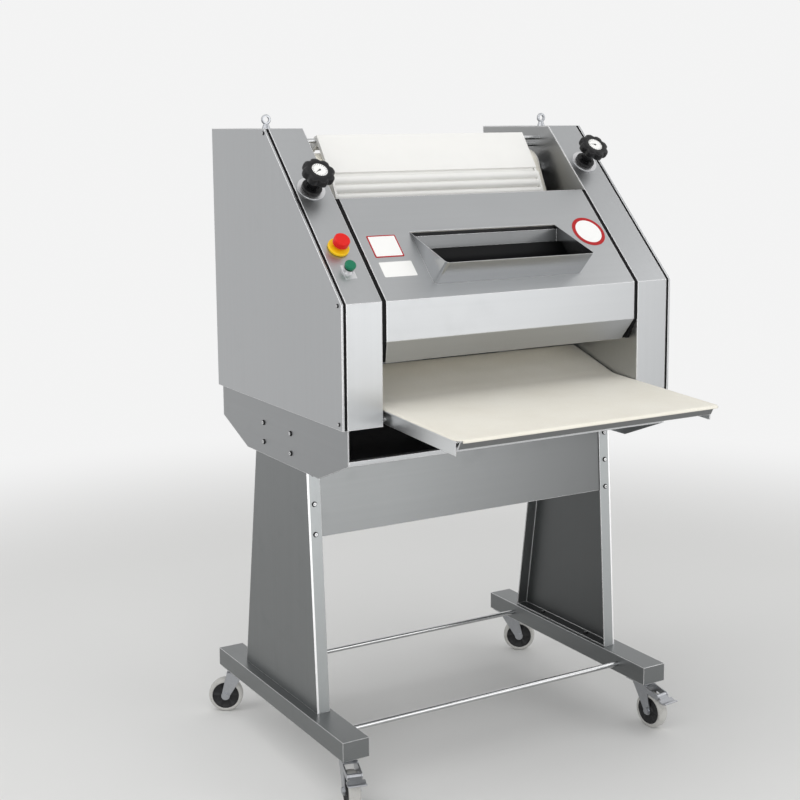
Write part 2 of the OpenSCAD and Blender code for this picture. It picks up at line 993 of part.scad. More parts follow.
module front_cover() {
    corner = [[0, 0], [lip_corner, 0], [0, lip_h]];
    color(steel)
        from_front()
            difference() {
                union() {
                    across(-cover_half, cover_half)
                        strip(cover_path, 0, sheet_t);
                    for (side = [-1, 1])
                        on_side(side)
                            across(cover_half - sheet_t, cover_half)
                                strip(cover_path, 0, cover_edge + 2 * pivot_r);
                }
                on_slope(0, 0)
                    translate([0, 0, -sheet_t - 5])
                        linear_extrude(sheet_t + 10)
                            hopper_outline(0, 0);
                for (side = [-1, 1])
                    on_side(side) {
                        rod_across(pivot, pivot_r + run_fit, cover_half - sheet_t - 1, cover_half + 1);
                        translate([cover_half, lip_in + cover_edge + 20, lip_z])
                            rotate([90, 0, 0])
                                linear_extrude(lip_in + cover_edge + 40)
                                    mirror([1, 0])
                                        polygon(corner);
                    }
            }
}

// The hopper seen along the slope's normal, with rounded front corners
module hopper_outline(wall, past) {
    half = hopper_w / 2 - wall;
    low = hopper_s0 + wall;
    r = hopper_bend - wall;
    translate([-half, low + r])
        square([2 * half, hopper_s1 + past - low - r]);
    translate([-half + r, low])
        square([2 * (half - r), 2 * r]);
    for (side = [-1, 1])
        translate([side * (half - r), low + r])
            circle(r);
}

// A folded trough: a front plate running round into two end plates, and a hanging rear plate
module feed_hopper() {
    below = 7;
    rear_s = hopper_s1 - hopper_slot;
    rear_run = hopper_back * sin(slope_a);
    rear_fall = hopper_back * cos(slope_a);
    side_view = [
        [hopper_s0, -below],
        [hopper_s0, hopper_h],
        [hopper_s1, 0],
        [hopper_s1, -below],
        [rear_s - rear_run, -rear_fall],
        [rear_s - rear_run - 20, -below]
    ];
    rear_plate = [[rear_s, 0], [rear_s - rear_run, -rear_fall]];
    color(bright)
        from_front()
            on_slope(0, 0) {
                intersection() {
                    translate([0, 0, -60])
                        linear_extrude(hopper_h + 60)
                            difference() {
                                hopper_outline(0, 0);
                                hopper_outline(hopper_t, 5);
                            }
                    across(-hopper_w / 2, hopper_w / 2)
                        polygon(side_view);
                }
                across(-hopper_w / 2, hopper_w / 2)
                    strip(rear_plate, 0, hopper_t);
            }
}

// Rear cover between the frame plates, open above the belt
module back_cover() {
    height = 0.88 * (body_top - body_bottom);
    flange = 22;
    color(steel)
        from_front()
            difference() {
                translate([-wall_x, body_d - flange, body_bottom + sheet_t])
                    cube([2 * wall_x, flange, height]);
                translate([-wall_x + sheet_t, body_d - flange - 1, body_bottom])
                    cube([2 * (wall_x - sheet_t), flange - sheet_t + 1, height + 10]);
            }
}

module panel_screws() {
    color(bright)
        from_front()
            for (side = [-1, 1])
                on_side(side)
                    for (p = screw_places)
                        translate([panel_x, p[0], p[1]])
                            rotate([0, 90, 0]) {
                                cylinder(r1 = screw_r + 2.5, r2 = screw_r + 1, h = 3);
                                translate([0, 0, -hem_d + 0.5])
                                    cylinder(r = screw_r, h = hem_d - 0.5);
                            }
}

// Lifting eyes: a round ring with a plain bore on a collar and stud
eye_r = 13;
eye_bore_r = 7.5;
eye_t = 8;
eye_lift = 23;
eye_stud_r = 5;
eye_y = slope_run + 107;

module lifting_eyes() {
    color(bright)
        from_front()
            for (side = [-1, 1])
                translate([side * bay_x, eye_y, body_top]) {
                    difference() {
                        union() {
                            translate([0, 0, -14])
                                cylinder(r = eye_stud_r, h = 24);
                            cylinder(r1 = 11, r2 = 7, h = 12);
                            translate([0, eye_t / 2, eye_lift])
                                rotate([90, 0, 0])
                                    rounded_disc(eye_r, eye_t, 2.5);
                        }
                        translate([0, eye_t, eye_lift])
                            rotate([90, 0, 0])
                                cylinder(r = eye_bore_r, h = 2 * eye_t);
                    }
                }
}

// A disc with a rounded rim
module rounded_disc(r, h, edge) {
    rotate_extrude() {
        square([r - edge, h]);
        translate([0, edge])
            square([r, h - 2 * edge]);
        for (z = [edge, h - edge])
            translate([r - edge, z])
                circle(edge);
    }
}

// Belt, rollers and drive

// Outline of a loop round two axes
module loop_2d(a, b, r) {
    bar_2d(a, b, 2 * r);
}

module moulding_belt() {
    color(cream)
        from_front()
            across(-belt_w / 2, belt_w / 2)
                difference() {
                    loop_2d(top_roller, drive_roller, belt_out_r);
                    loop_2d(top_roller, drive_roller, belt_in_r);
                }
}

// A roller with stepped ends; the right end may carry a pulley
module roller(at, r, face, left_end, right_end, rim) {
    rod_across(at, r, -face / 2, face / 2);
    rod_across(at, journal_r + 6, -wall_x + 2, wall_x - 2);
    rod_across(at, journal_r, -left_end, right_end);
    if (rim > 0)
        rod_across(at, rim, pulley_x - pulley_w / 2, pulley_x + pulley_w / 2);
}

module belt_top_roller() {
    color(white)
        from_front()
            roller(top_roller, belt_roller_r, roller_face, journal_end, journal_end, 0);
}

module belt_drive_roller() {
    color(white)
        from_front()
            roller(drive_roller, belt_roller_r, roller_face, journal_end, pulley_end, pulley_r);
}

module front_sheeting_roller() {
    color(black)
        from_front()
            roller(front_roller, sheet_roller_r, roller_face, journal_end, pulley_end, nip_pulley_r);
}

module rear_sheeting_roller() {
    color(black)
        from_front()
            roller(rear_roller, sheet_roller_r, roller_face, carriage_x + carriage_t, pulley_end, pulley_r);
}

// A slanted white plate with end plates that hold the guide bars
module belt_guard() {
    half = guard_w / 2;
    low = guard_low;
    high = guard_low + guard_l * guard_dir;
    last_bar = bar_first + 2 * bar_pitch * belt_dir;
    color(white)
        from_front() {
            across(-half, half)
                strip([high, low], 0, guard_t);
            for (side = [-1, 1])
                on_side(side)
                    across(half - guard_end_t, half)
                        difference() {
                            union() {
                                strip([high, low], guard_t, guard_t + guard_rib);
                                bar_2d(guard_rods_at[0], guard_rods_at[1], 4 * guard_rod_r);
                                bar_2d(bar_first, low + 6 * guard_dir - 8 * guard_out, 12);
                                bar_2d(bar_first, last_bar, 2 * bar_r);
                            }
                            polygon([low, high, high + 30 * guard_out, low + 30 * guard_out]);
                            for (p = guard_rods_at)
                                translate(p)
                                    circle(guard_rod_r + bolt_gap);
                            for (i = [0:2])
                                translate(bar_first + i * bar_pitch * belt_dir)
                                    circle(bar_end_r + bolt_gap);
                        }
        }
}

module guard_rods() {
    color(bright)
        from_front()
            for (p = guard_rods_at)
                rod_across(p, guard_rod_r, -plate_x, plate_x);
}

module guide_bars() {
    half = guard_w / 2;
    color(white)
        from_front()
            for (i = [0:2]) {
                at = bar_first + i * bar_pitch * belt_dir;
                rod_across(at, bar_r, -half + guard_end_t, half - guard_end_t);
                rod_across(at, bar_end_r, -half, half);
            }
}

// Sliding plates that hold the rear sheeting roller, joined by a tie bar
module roller_carriage() {
    color(bright)
        from_front() {
            for (side = [-1, 1])
                on_side(side)
                    across(carriage_x, carriage_x + carriage_t)
                        difference() {
                            union() {
                                bar_2d(rear_roller, tie_point, link_w);
                                if (side < 0)
                                    bar_2d(tie_point, left_nut, link_w);
                            }
                            translate(rear_roller)
                                circle(journal_r + run_fit);
                        }
            rod_across(tie_point, tie_r, -carriage_x - 1, carriage_x + 1);
            spindle_nut(-1, left_wheel_s, carriage_x + carriage_t);
        }
}

// A threaded block on an adjusting spindle, standing on its plate
module spindle_nut(side, s, from_x) {
    depth = 30;
    height = 40;
    on_slope(side * bay_x, s)
        translate([0, 0, -spindle_depth + depth - height / 2])
            difference() {
                union() {
                    cylinder(r = nut_r, h = height);
                    mirror([side > 0 ? 1 : 0, 0, 0])
                        translate([0, -0.4 * nut_r, height / 4])
                            cube([bay_x - from_x + 2, 0.8 * nut_r, height / 2]);
                }
                translate([0, 0, -1])
                    cylinder(r = spindle_r + run_fit, h = height + 2);
            }
}

// A bent board that rolls the dough against the belt, on a rod and an arm
module pressure_board() {
    half = belt_w / 2 - 8;
    color(bright)
        from_front() {
            across(-half, half)
                strip([board_catch, board_high, board_low], -board_t, 0);
            rod_across(board_rod, tie_r, -plate_x - 6, arm_x + arm_t);
            for (x = [-0.7, 0, 0.7])
                across(x * half - 4, x * half + 4)
                    bar_2d(board_rod, board_rod + [9, -2], tie_r);
            across(arm_x, arm_x + arm_t)
                bar_2d(board_rod, right_nut, link_w);
            spindle_nut(1, right_wheel_s, arm_x + arm_t);
        }
}

module roller_bearings() {
    color(dark_steel)
        from_front()
            for (side = [-1, 1])
                on_side(side)
                    for (p = [top_roller, drive_roller, front_roller])
                        difference() {
                            union() {
                                rod_across(p, bearing_r, plate_x, plate_x + bearing_t / 2);
                                rod_across(p, bearing_r - 8, plate_x, plate_x + bearing_t);
                            }
                            rod_across(p, journal_r + run_fit, plate_x - 1, plate_x + bearing_t + 1);
                        }
}

// Motor with a gear head against the right frame plate
module drive_motor() {
    head_l = 60;
    ribs = 6;
    color(dark_steel)
        from_front()
            difference() {
                union() {
                    rod_across(motor_axis, motor_r - 12, wall_x - head_l, wall_x);
                    rod_across(motor_axis, motor_r - 4, wall_x - head_l - motor_l, wall_x - head_l);
                    for (i = [0:ribs])
                        let (x = wall_x - head_l - 40 - i * (motor_l - 80) / ribs)
                            rod_across(motor_axis, motor_r, x - 5, x);
                }
                rod_across(motor_axis, journal_r + run_fit, wall_x - head_l + 10, wall_x + 1);
            }
}

module motor_pulley() {
    color(bright)
        from_front() {
            rod_across(motor_axis, journal_r, wall_x - 40, pulley_x);
            rod_across(motor_axis, pulley_r, pulley_x - pulley_w / 2, pulley_x + pulley_w / 2);
        }
}

// A drive belt round the pulleys of the motor, the lower belt roller and the rear sheeting roller
module drive_loop_2d(r) {
    corners = [motor_axis, drive_roller, rear_roller];
    for (i = [0:2])
        bar_2d(corners[i], corners[(i + 1) % 3], 2 * r);
    polygon(corners);
}

module drive_belt() {
    color(black)
        from_front()
            across(pulley_x - pulley_w / 2 + 1, pulley_end - 1)
                difference() {
                    drive_loop_2d(pulley_r + move_gap + drive_belt_t);
                    drive_loop_2d(pulley_r + move_gap);
                }
}

// Controls

bush_h = 8;
bush_r = 26;

// A lobed wheel on a neck, with its spindle reaching into the housing
module handwheel(side, s) {
    notch_r = 8;
    step = 360 / knob_lobes;
    neck_h = dial_n - knob_t - bush_h - sheet_t - move_gap;
    from_front()
        on_slope(side * bay_x, s) {
            difference() {
                translate([0, 0, dial_n - knob_t])
                    rounded_disc(knob_r, knob_t, 5);
                for (i = [0:knob_lobes - 1])
                    rotate((i + 0.5) * step)
                        translate([knob_r + 2.5, 0, dial_n - knob_t - 1])
                            cylinder(r = notch_r, h = knob_t + 2);
                translate([0, 0, dial_n - 2])
                    cylinder(r = dial_r, h = 3);
            }
            translate([0, 0, bush_h + sheet_t + move_gap])
                cylinder(r1 = spindle_r + 5, r2 = knob_r - 16, h = neck_h);
            translate([0, 0, -spindle_depth])
                cylinder(r = spindle_r, h = spindle_depth + dial_n - knob_t);
        }
}

module left_handwheel() {
    color(black)
        handwheel(-1, left_wheel_s);
}

module right_handwheel() {
    color(black)
        handwheel(1, right_wheel_s);
}

module dial(side, s) {
    from_front()
        on_slope(side * bay_x, s)
            translate([0, 0, dial_n - 2])
                rounded_disc(dial_r, 2.5, 0.5);
}

module left_dial() {
    color(white)
        dial(-1, left_wheel_s);
}

module right_dial() {
    color(white)
        dial(1, right_wheel_s);
}

module scale_plates() {
    color(bright)
        from_front()
            for (spot = [[-1, left_wheel_s], [1, right_wheel_s]])
                on_slope(spot[0] * bay_x, spot[1])
                    difference() {
                        cylinder(r = scale_r, h = sheet_t);
                        translate([0, 0, -1])
                            cylinder(r = spindle_r + 4, h = sheet_t + 2);
                    }
}

module spindle_bushes() {
    color(black)
        from_front()
            for (spot = [[-1, left_wheel_s], [1, right_wheel_s]])
                on_slope(spot[0] * bay_x, spot[1])
                    difference() {
                        union() {
                            translate([0, 0, sheet_t])
                                rounded_disc(bush_r, bush_h, 2.5);
                            translate([0, 0, -sheet_t - 8])
                                cylinder(r = spindle_r + 4, h = 2 * sheet_t + 8);
                        }
                        translate([0, 0, sheet_t + bush_h - 3])
                            cylinder(r = bush_r - 9, h = 4);
                        translate([0, 0, -sheet_t - 9])
                            cylinder(r = spindle_r + run_fit, h = 40);
                    }
}

stop_base_r = 27;
stop_base_h = 8;
stop_body_r = 11;
stop_stem_r = 8;
stop_head_n = stop_base_h + stop_travel + 3;

module stop_base() {
    color([0.95, 0.75, 0.05])
        from_front()
            on_slope(-bay_x, stop_s)
                difference() {
                    union() {
                        rounded_disc(stop_base_r, stop_base_h, 2.5);
                        translate([0, 0, -40])
                            cylinder(r = stop_body_r, h = 42);
                    }
                    translate([0, 0, -32])
                        cylinder(r = stop_stem_r + run_fit, h = 60);
                }
}

module stop_head() {
    color([0.85, 0.08, 0.06])
        from_front()
            on_slope(-bay_x, stop_s) {
                translate([0, 0, stop_head_n])
                    rounded_disc(stop_r, 19, 4);
                translate([0, 0, -32 + stop_travel + 2])
                    cylinder(r = stop_stem_r, h = 32 + stop_head_n);
            }
}

start_body_r = 11;
start_stem_r = 7;
start_ring_h = 10;
start_plate_t = 1.5;

module start_base() {
    ring = start_r + 1;
    color(bright)
        from_front()
            on_slope(-bay_x, start_s)
                difference() {
                    union() {
                        translate([-ring, -ring - 11, 0])
                            cube([2 * ring, 2 * ring + 11, start_plate_t]);
                        cylinder(r1 = ring, r2 = ring - 2, h = start_ring_h);
                        translate([0, 0, -34])
                            cylinder(r = start_body_r, h = 36);
                    }
                    translate([0, 0, -24])
                        cylinder(r = start_stem_r + run_fit, h = 60);
                }
}

module start_button() {
    color([0.05, 0.45, 0.25])
        from_front()
            on_slope(-bay_x, start_s) {
                translate([0, 0, start_ring_h + start_travel + 0.5])
                    rounded_disc(start_r, 11, 4);
                translate([0, 0, -24 + start_travel + 2])
                    cylinder(r = start_stem_r, h = 24 + start_ring_h);
            }
}

// Discharge tray

module discharge_tray() {
    half = tray_w / 2;
    edge = [12, -22];
    start = tray_path[0];
    edge_top = start - felt_t * tray_up;
    runner_path = [start + 20 * tray_dir, start + (tray_flat - 30) * tray_dir];
    color(steel)
        from_front() {
            across(-half, half)
                strip(tray_path, -felt_t - tray_t, -felt_t);
            across(-half + 12, half - 12)
                strip([edge_top + tray_t * unit(edge), edge_top + edge], 0, tray_t);
            for (side = [-1, 1])
                on_side(side)
                    across(runner_x - runner_w, runner_x)
                        strip(runner_path, -felt_t - tray_t - runner_h, -felt_t - tray_t);
        }
}

// Felt over the whole tray
module tray_felt() {
    half = tray_w / 2;
    color(cream)
        from_front()
            across(-half, half)
                strip(tray_path, -felt_t, 0);
}

// Angle rails below the tray, carried by spacers on the frame plates
module tray_rails() {
    start = tray_path[0];
    reach = (tray_reach - rail_reach) / cos(tray_fall);
    rail_path = [start + reach * tray_dir, start + (tray_reach + rail_back) / cos(tray_fall) * tray_dir];
    color(steel)
        from_front()
            for (side = [-1, 1])
                on_side(side) {
                    across(rail_x - plate_t, rail_x)
                        strip(rail_path, -rail_drop - rail_h, -rail_top);
                    across(rail_x - rail_leaf, rail_x)
                        strip(rail_path, -rail_drop - plate_t, -rail_drop);
                    for (y = [20, rail_back - 20])
                        rod_across(
                            start + (tray_reach + y) * tray_dir - (rail_drop + rail_h / 2) * tray_up,
                            8,
                            rail_x,
                            wall_x
                        );
                }
}

left_foot_beam();
right_foot_beam();
left_leg();
right_leg();
aprons();
tie_rods();
stand_bolts();
caster_plates();
caster_fork_fl();
caster_fork_fr();
caster_fork_rl();
caster_fork_rr();
caster_wheel_fl();
caster_wheel_fr();
caster_wheel_rl();
caster_wheel_rr();
brake_pedal_fl();
brake_pedal_fr();
base_cheeks();
base_floor();
left_frame_plate();
right_frame_plate();
left_housing();
right_housing();
left_side_panel();
right_side_panel();
rubber_seals();
front_cover();
feed_hopper();
back_cover();
panel_screws();
lifting_eyes();
moulding_belt();
belt_top_roller();
belt_drive_roller();
belt_guard();
guard_rods();
guide_bars();
front_sheeting_roller();
rear_sheeting_roller();
roller_carriage();
pressure_board();
roller_bearings();
drive_motor();
motor_pulley();
drive_belt();
left_handwheel();
right_handwheel();
left_dial();
right_dial();
scale_plates();
spindle_bushes();
stop_base();
stop_head();
start_base();
start_button();
discharge_tray();
tray_felt();
tray_rails();
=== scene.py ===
import math

import bmesh
import bpy
from mathutils import Matrix, Vector, noise


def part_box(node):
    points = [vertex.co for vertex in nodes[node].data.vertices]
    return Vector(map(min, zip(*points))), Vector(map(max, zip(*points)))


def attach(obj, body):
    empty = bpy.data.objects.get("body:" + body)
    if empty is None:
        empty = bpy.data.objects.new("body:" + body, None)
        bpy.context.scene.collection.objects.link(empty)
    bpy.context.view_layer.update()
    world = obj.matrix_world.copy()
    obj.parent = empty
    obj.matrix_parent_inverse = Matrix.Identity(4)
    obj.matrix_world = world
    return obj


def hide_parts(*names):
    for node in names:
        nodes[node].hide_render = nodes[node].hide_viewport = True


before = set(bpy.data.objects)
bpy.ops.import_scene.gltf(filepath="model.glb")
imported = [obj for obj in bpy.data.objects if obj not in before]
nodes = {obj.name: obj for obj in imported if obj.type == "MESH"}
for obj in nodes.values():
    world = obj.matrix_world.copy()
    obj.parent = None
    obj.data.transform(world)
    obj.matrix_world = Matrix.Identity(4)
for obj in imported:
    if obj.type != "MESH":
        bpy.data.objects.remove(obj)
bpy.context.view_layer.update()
print("frame loaded with", len(nodes), "nodes")

# The machine's own measures: depth counts from the upright front face, in millimetres
machine = {"frontY": -218.5, "bendZ": 1240.0, "slope": 45.0, "bayX": 433.5}
metre = 1000
corners = ("fl", "fr", "rl", "rr")


def spot(x, y, z):
    return Vector((x, y + machine["frontY"], z)) / metre


def onSlope(x, s, n=0.0):  # a frame on the slanted front: s up the slope, n out of it
    a = math.radians(machine["slope"])
    y = s * math.cos(a) - n * math.sin(a)
    z = machine["bendZ"] + s * math.sin(a) + n * math.cos(a)
    return Matrix.Translation(spot(x, y, z)) @ Matrix.Rotation(a, 4, "X")


# Camera at the photograph's viewing angle
photoView = {
    "eye": (-2.0259, -3.1337, 1.6591), "yaw": 30.128, "pitch": -8.659, "roll": -0.444, "lens": 65.0,
    "sensor": 36.0, "shiftY": -0.075, "reach": 60.0,
}


def makeCamera(look):
    yaw, pitch, roll = (math.radians(look[k]) for k in ("yaw", "pitch", "roll"))
    level = math.cos(pitch)
    ahead = Vector((math.sin(yaw) * level, math.cos(yaw) * level, math.sin(pitch)))
    side = Vector((math.cos(yaw), -math.sin(yaw), 0))
    up = side.cross(ahead)
    right = side * math.cos(roll) + up * math.sin(roll)
    top = up * math.cos(roll) - side * math.sin(roll)
    camera = bpy.data.objects.new("camera", bpy.data.cameras.new("camera"))
    camera.data.lens = look["lens"]
    camera.data.sensor_width = look["sensor"]
    camera.data.shift_y = look["shiftY"]
    camera.data.clip_end = look["reach"]
    turn = Matrix((right, top, -ahead)).transposed().to_4x4()
    camera.matrix_world = Matrix.Translation(look["eye"]) @ turn
    bpy.context.collection.objects.link(camera)
    bpy.context.scene.camera = camera


makeCamera(photoView)
print("camera set")


class Sum:  # a value socket that can be used in sums
    def __init__(self, finish, socket):
        self.finish, self.socket = finish, socket

    def op(self, kind, a, b):
        return self.finish.node("ShaderNodeMath", {"operation": kind}, {0: a, 1: b})

    def __add__(self, other):
        return self.op("ADD", self, other)

    def __radd__(self, other):
        return self.op("ADD", other, self)

    def __sub__(self, other):
        return self.op("SUBTRACT", self, other)

    def __rsub__(self, other):
        return self.op("SUBTRACT", other, self)

    def __mul__(self, other):
        return self.op("MULTIPLY", self, other)

    def __rmul__(self, other):
        return self.op("MULTIPLY", other, self)


class Finish:  # one material with its nodes
    def __init__(self, name, constants):
        self.material = bpy.data.materials.new(name)
        self.material.use_nodes = True
        self.tree = self.material.node_tree
        self.shader = self.tree.nodes["Principled BSDF"]
        for socket, value in constants.items():
            self.shader.inputs[socket].default_value = value

    def node(self, kind, settings=None, sockets=None, out=0):
        made = self.tree.nodes.new(kind)
        for key, value in (settings or {}).items():
            if key == "stops":
                ramp = made.color_ramp.elements  # two to begin with, and no ramp here has more
                for stop, (place, grey) in zip(ramp, value):
                    stop.position, stop.color = place, (grey, grey, grey, 1)
            else:
                setattr(made, key, value)
        for key, value in (sockets or {}).items():
            self.plug(made.inputs[key], value)
        return Sum(self, made.outputs[out])

    def plug(self, socket, value):
        if isinstance(value, Sum):
            self.tree.links.new(value.socket, socket)
        else:
            socket.default_value = value

    def feed(self, socket, value):
        self.plug(self.shader.inputs[socket], value)

    def place(self, stretch=(1, 1, 1)):
        here = self.node("ShaderNodeTexCoord", out="Object")
        return self.node("ShaderNodeMapping", None, {"Vector": here, "Scale": stretch})

    def noise(self, scale, detail, rough, stretch=(1, 1, 1)):
        sockets = {"Scale": scale, "Detail": detail, "Roughness": rough}
        return self.node("ShaderNodeTexNoise", None, {"Vector": self.place(stretch), **sockets})

    def part(self, vector, axis):
        return self.node("ShaderNodeSeparateXYZ", None, {0: vector}, out=axis)

    def normal(self):
        return self.node("ShaderNodeNewGeometry", out="Normal")

    def ramp(self, value, *stops):
        return self.node("ShaderNodeValToRGB", {"stops": stops}, {0: value})

    def mix(self, share, a, b):
        a, b = ((*c, 1) if isinstance(c, tuple) else c for c in (a, b))
        return self.node("ShaderNodeMix", {"data_type": "RGBA"}, {0: share, 6: a, 7: b}, out=2)

    def above(self, a, b):
        return self.node("ShaderNodeMath", {"operation": "GREATER_THAN"}, {0: a, 1: b})

    def edges(self, width):  # 1 along sharp edges, 0 on flat faces
        rounded = self.node("ShaderNodeBevel", {"samples": 6}, {"Radius": width})
        dot = {"operation": "DOT_PRODUCT"}
        same = self.node("ShaderNodeVectorMath", dot, {0: rounded, 1: self.normal()}, out="Value")
        return self.ramp(same, (0.9, 1.0), (0.992, 0.0))

    def bump(self, height, depth, strength, edge=0.0):
        sockets = {"Strength": strength, "Distance": depth, "Height": height}
        if edge:  # rounded sheet edges catch the light
            sockets["Normal"] = self.node("ShaderNodeBevel", {"samples": 4}, {"Radius": edge})
        self.feed("Normal", self.node("ShaderNodeBump", None, sockets))


def shade(colour, share):
    return tuple(min(1.0, c * share) for c in colour)


def alongAxis(axis, along, across):  # one scale along an axis, another across it
    return tuple(along if axis == k else across for k in "xyz")


sheetEdge = 0.0025  # how far a sheet's edge is rounded, and how wide its painted highlight is, in metres
foldHighlightBand = 0.004  # how much of a leg's folded edge gets a painted highlight
# near-white steel for painted highlights along edges and folds
paintedHighlightSteel = (0.9, 0.9, 0.905)
brushLines, brushBands, turningRings = (2.2, 700), (0.8, 90), (900, 3)  # scales along and across


# Brushed sheet steel: fine lines along the grain, slow clouding, faint handling marks, a painted
# highlight along edges, and on some looks painted light and shade
def brushedSteel(name, look):
    f = Finish(name, {"Metallic": 1.0})
    grain, colour, edge = look["grain"], look["colour"], look.get("edge", sheetEdge)
    lines = f.noise(1.0, 2.0, 0.6, alongAxis(grain, *brushLines))
    bands = f.noise(1.0, 2.0, 0.5, alongAxis(grain, *brushBands))
    clouds = f.noise(2.6, 3.0, 0.55)
    marks = f.ramp(f.noise(11.0, 6.0, 0.65), (0.56, 0.0), (0.74, 1.0))
    tone = f.ramp(lines * 0.45 + bands * 0.3 + clouds * 0.25, (0.3, 0.0), (0.7, 1.0))
    steel = f.mix(tone, shade(colour, 1 - look["streak"]), shade(colour, 1 + look["streak"]))
    if "dim" in look:  # painted shade: darker along one axis
        axis, start, end, share = look["dim"]
        ends = {"Value": f.part(f.place(), axis), "From Min": start, "From Max": end}
        steel = f.mix(f.node("ShaderNodeMapRange", None, ends), steel, shade(colour, share))
    if "inside" in look:  # painted shade: a leg's parts nearer the middle than its web are darker
        aside, share = look["inside"]
        across = f.node("ShaderNodeMath", {"operation": "ABSOLUTE"}, {0: f.part(f.place(), "X")})
        steel = f.mix(f.above(aside, across), steel, shade(colour, share))
    for axis, share in look.get("faces", {}).items():  # painted light and shade: faces brighter or darker by the axis they face
        lean = f.part(f.normal(), axis)
        facing = f.above(lean * lean, 0.5)
        steel = f.mix(facing, steel, shade(colour, share))
    if "inside" in look:  # painted highlight along a leg's folds, on its front and back faces
        steel = f.mix(f.above(across, aside - foldHighlightBand) * facing, steel, paintedHighlightSteel)
    # painted highlight: near-white along sharp edges and folds, uneven with the clouding
    worn = f.edges(edge) * (0.5 + clouds * 0.7)
    f.feed("Base Color", f.mix(worn, steel, paintedHighlightSteel))
    uneven = (lines - 0.5) * 0.16 + (clouds - 0.5) * 0.1 + marks * 0.05
    f.feed("Roughness", look["rough"] + uneven)
    f.bump(lines, 0.00012, 0.3, edge)
    return f


# Turned or drawn bars: rings round the bar's length
def turnedSteel(name, look):
    f = Finish(name, {"Metallic": 1.0})
    rings = f.noise(1.0, 2.0, 0.6, alongAxis(look["along"], *turningRings))
    dull = f.noise(14.0, 4.0, 0.6)
    tone = f.ramp(dull, (0.35, 0.0), (0.75, 1.0))
    f.feed("Base Color", f.mix(tone, look["colour"], shade(look["colour"], 0.86)))
    f.feed("Roughness", look["rough"] + (rings - 0.5) * 0.12 + dull * 0.06)
    f.bump(rings, 0.00008, 0.3)
    return f


# Zinc plating: faint crystals and a blue tint
def zincPlate(name, look):
    f = Finish(name, {"Metallic": 1.0})
    flakes = f.node("ShaderNodeTexVoronoi", None, {"Vector": f.place(), "Scale": 260.0})
    dull = f.noise(30.0, 4.0, 0.6)
    plate = f.mix(flakes * 0.6 + dull * 0.4, look["colour"], look["second"])
    if "rim" in look:  # painted shade: near-black round a bolt's head and in its socket
        paintedShadeRim = f.node("ShaderNodeAttribute", {"attribute_name": "rim"}, out="Fac")
        plate = f.mix(paintedShadeRim, plate, look["rim"])
    f.feed("Base Color", plate)
    f.feed("Roughness", look["rough"] + dull * 0.14)
    f.bump(flakes + dull, 0.0001, 0.25)
    return f


# Moulded plastic or lacquer: a fine skin and slight colour drift
def moulded(name, look):
    f = Finish(name, {"Coat Roughness": 0.2, "Specular IOR Level": look.get("gloss", 0.5)})
    drift = f.noise(18.0, 3.0, 0.5)
    skin = f.noise(look.get("skin", 900.0), 2.0, 0.5)
    dust = f.ramp(f.noise(60.0, 5.0, 0.7), (0.58, 0.0), (0.8, 1.0))
    faded = shade(look["colour"], look.get("drift", 0.86))
    f.feed("Base Color", f.mix(drift, look["colour"], faded))
    f.feed("Roughness", look["rough"] + (drift - 0.5) * 0.08 + dust * 0.12)
    f.feed("Coat Weight", look.get("coat", 0.0) * (1 - dust))
    f.bump(skin, look.get("depth", 0.0001), 0.3)
    return f


# Rubber: matt, with chalky scuffs
def rubber(name, look):
    f = Finish(name, {"Specular IOR Level": 0.1})
    grain = f.noise(1400.0, 2.0, 0.6)
    scuff = f.ramp(f.noise(45.0, 6.0, 0.7), (0.52, 0.0), (0.8, 1.0))
    f.feed("Base Color", f.mix(scuff, look["colour"], look["scuffed"]))
    f.feed("Roughness", look["rough"] + scuff * 0.15 + (grain - 0.5) * 0.1)
    f.bump(grain, 0.00015, 0.4)
    return f


# Wool felt: matted fibres, slow wrinkles, flour rubbed in
def woolFelt(name, look):
    sheen = {"Sheen Weight": 0.25, "Sheen Roughness": 0.6, "Specular IOR Level": 0.15}
    f = Finish(name, sheen)
    fibres = f.noise(1600.0, 4.0, 0.75)
    matted = {"Vector": f.place(), "Scale": 420.0, "Detail": 3.0, "Distortion": 1.6}
    tangle = f.node("ShaderNodeTexNoise", None, matted)
    blotch = f.ramp(f.noise(7.0, 4.0, 0.6), (0.3, 0.0), (0.75, 1.0))
    bands = {"wave_type": "BANDS", "bands_direction": "X"}
    cloth = {"Scale": 130.0, "Distortion": 2.5, "Detail": 2.0, "Detail Scale": 3.0}
    weave = f.node("ShaderNodeTexWave", bands, {"Vector": f.place(), **cloth}, out=1)
    base = f.mix(blotch, look["colour"], look["worn"])
    deep = f.ramp(tangle, (0.35, 0.0), (0.7, 1.0)) * 0.3
    f.feed("Base Color", f.mix(deep, base, look["shadow"]))
    f.feed("Roughness", 0.86 + fibres * 0.1)
    f.bump(fibres * 0.5 + tangle * 0.8 + weave * 0.25, 0.0006, 0.55)
    return f


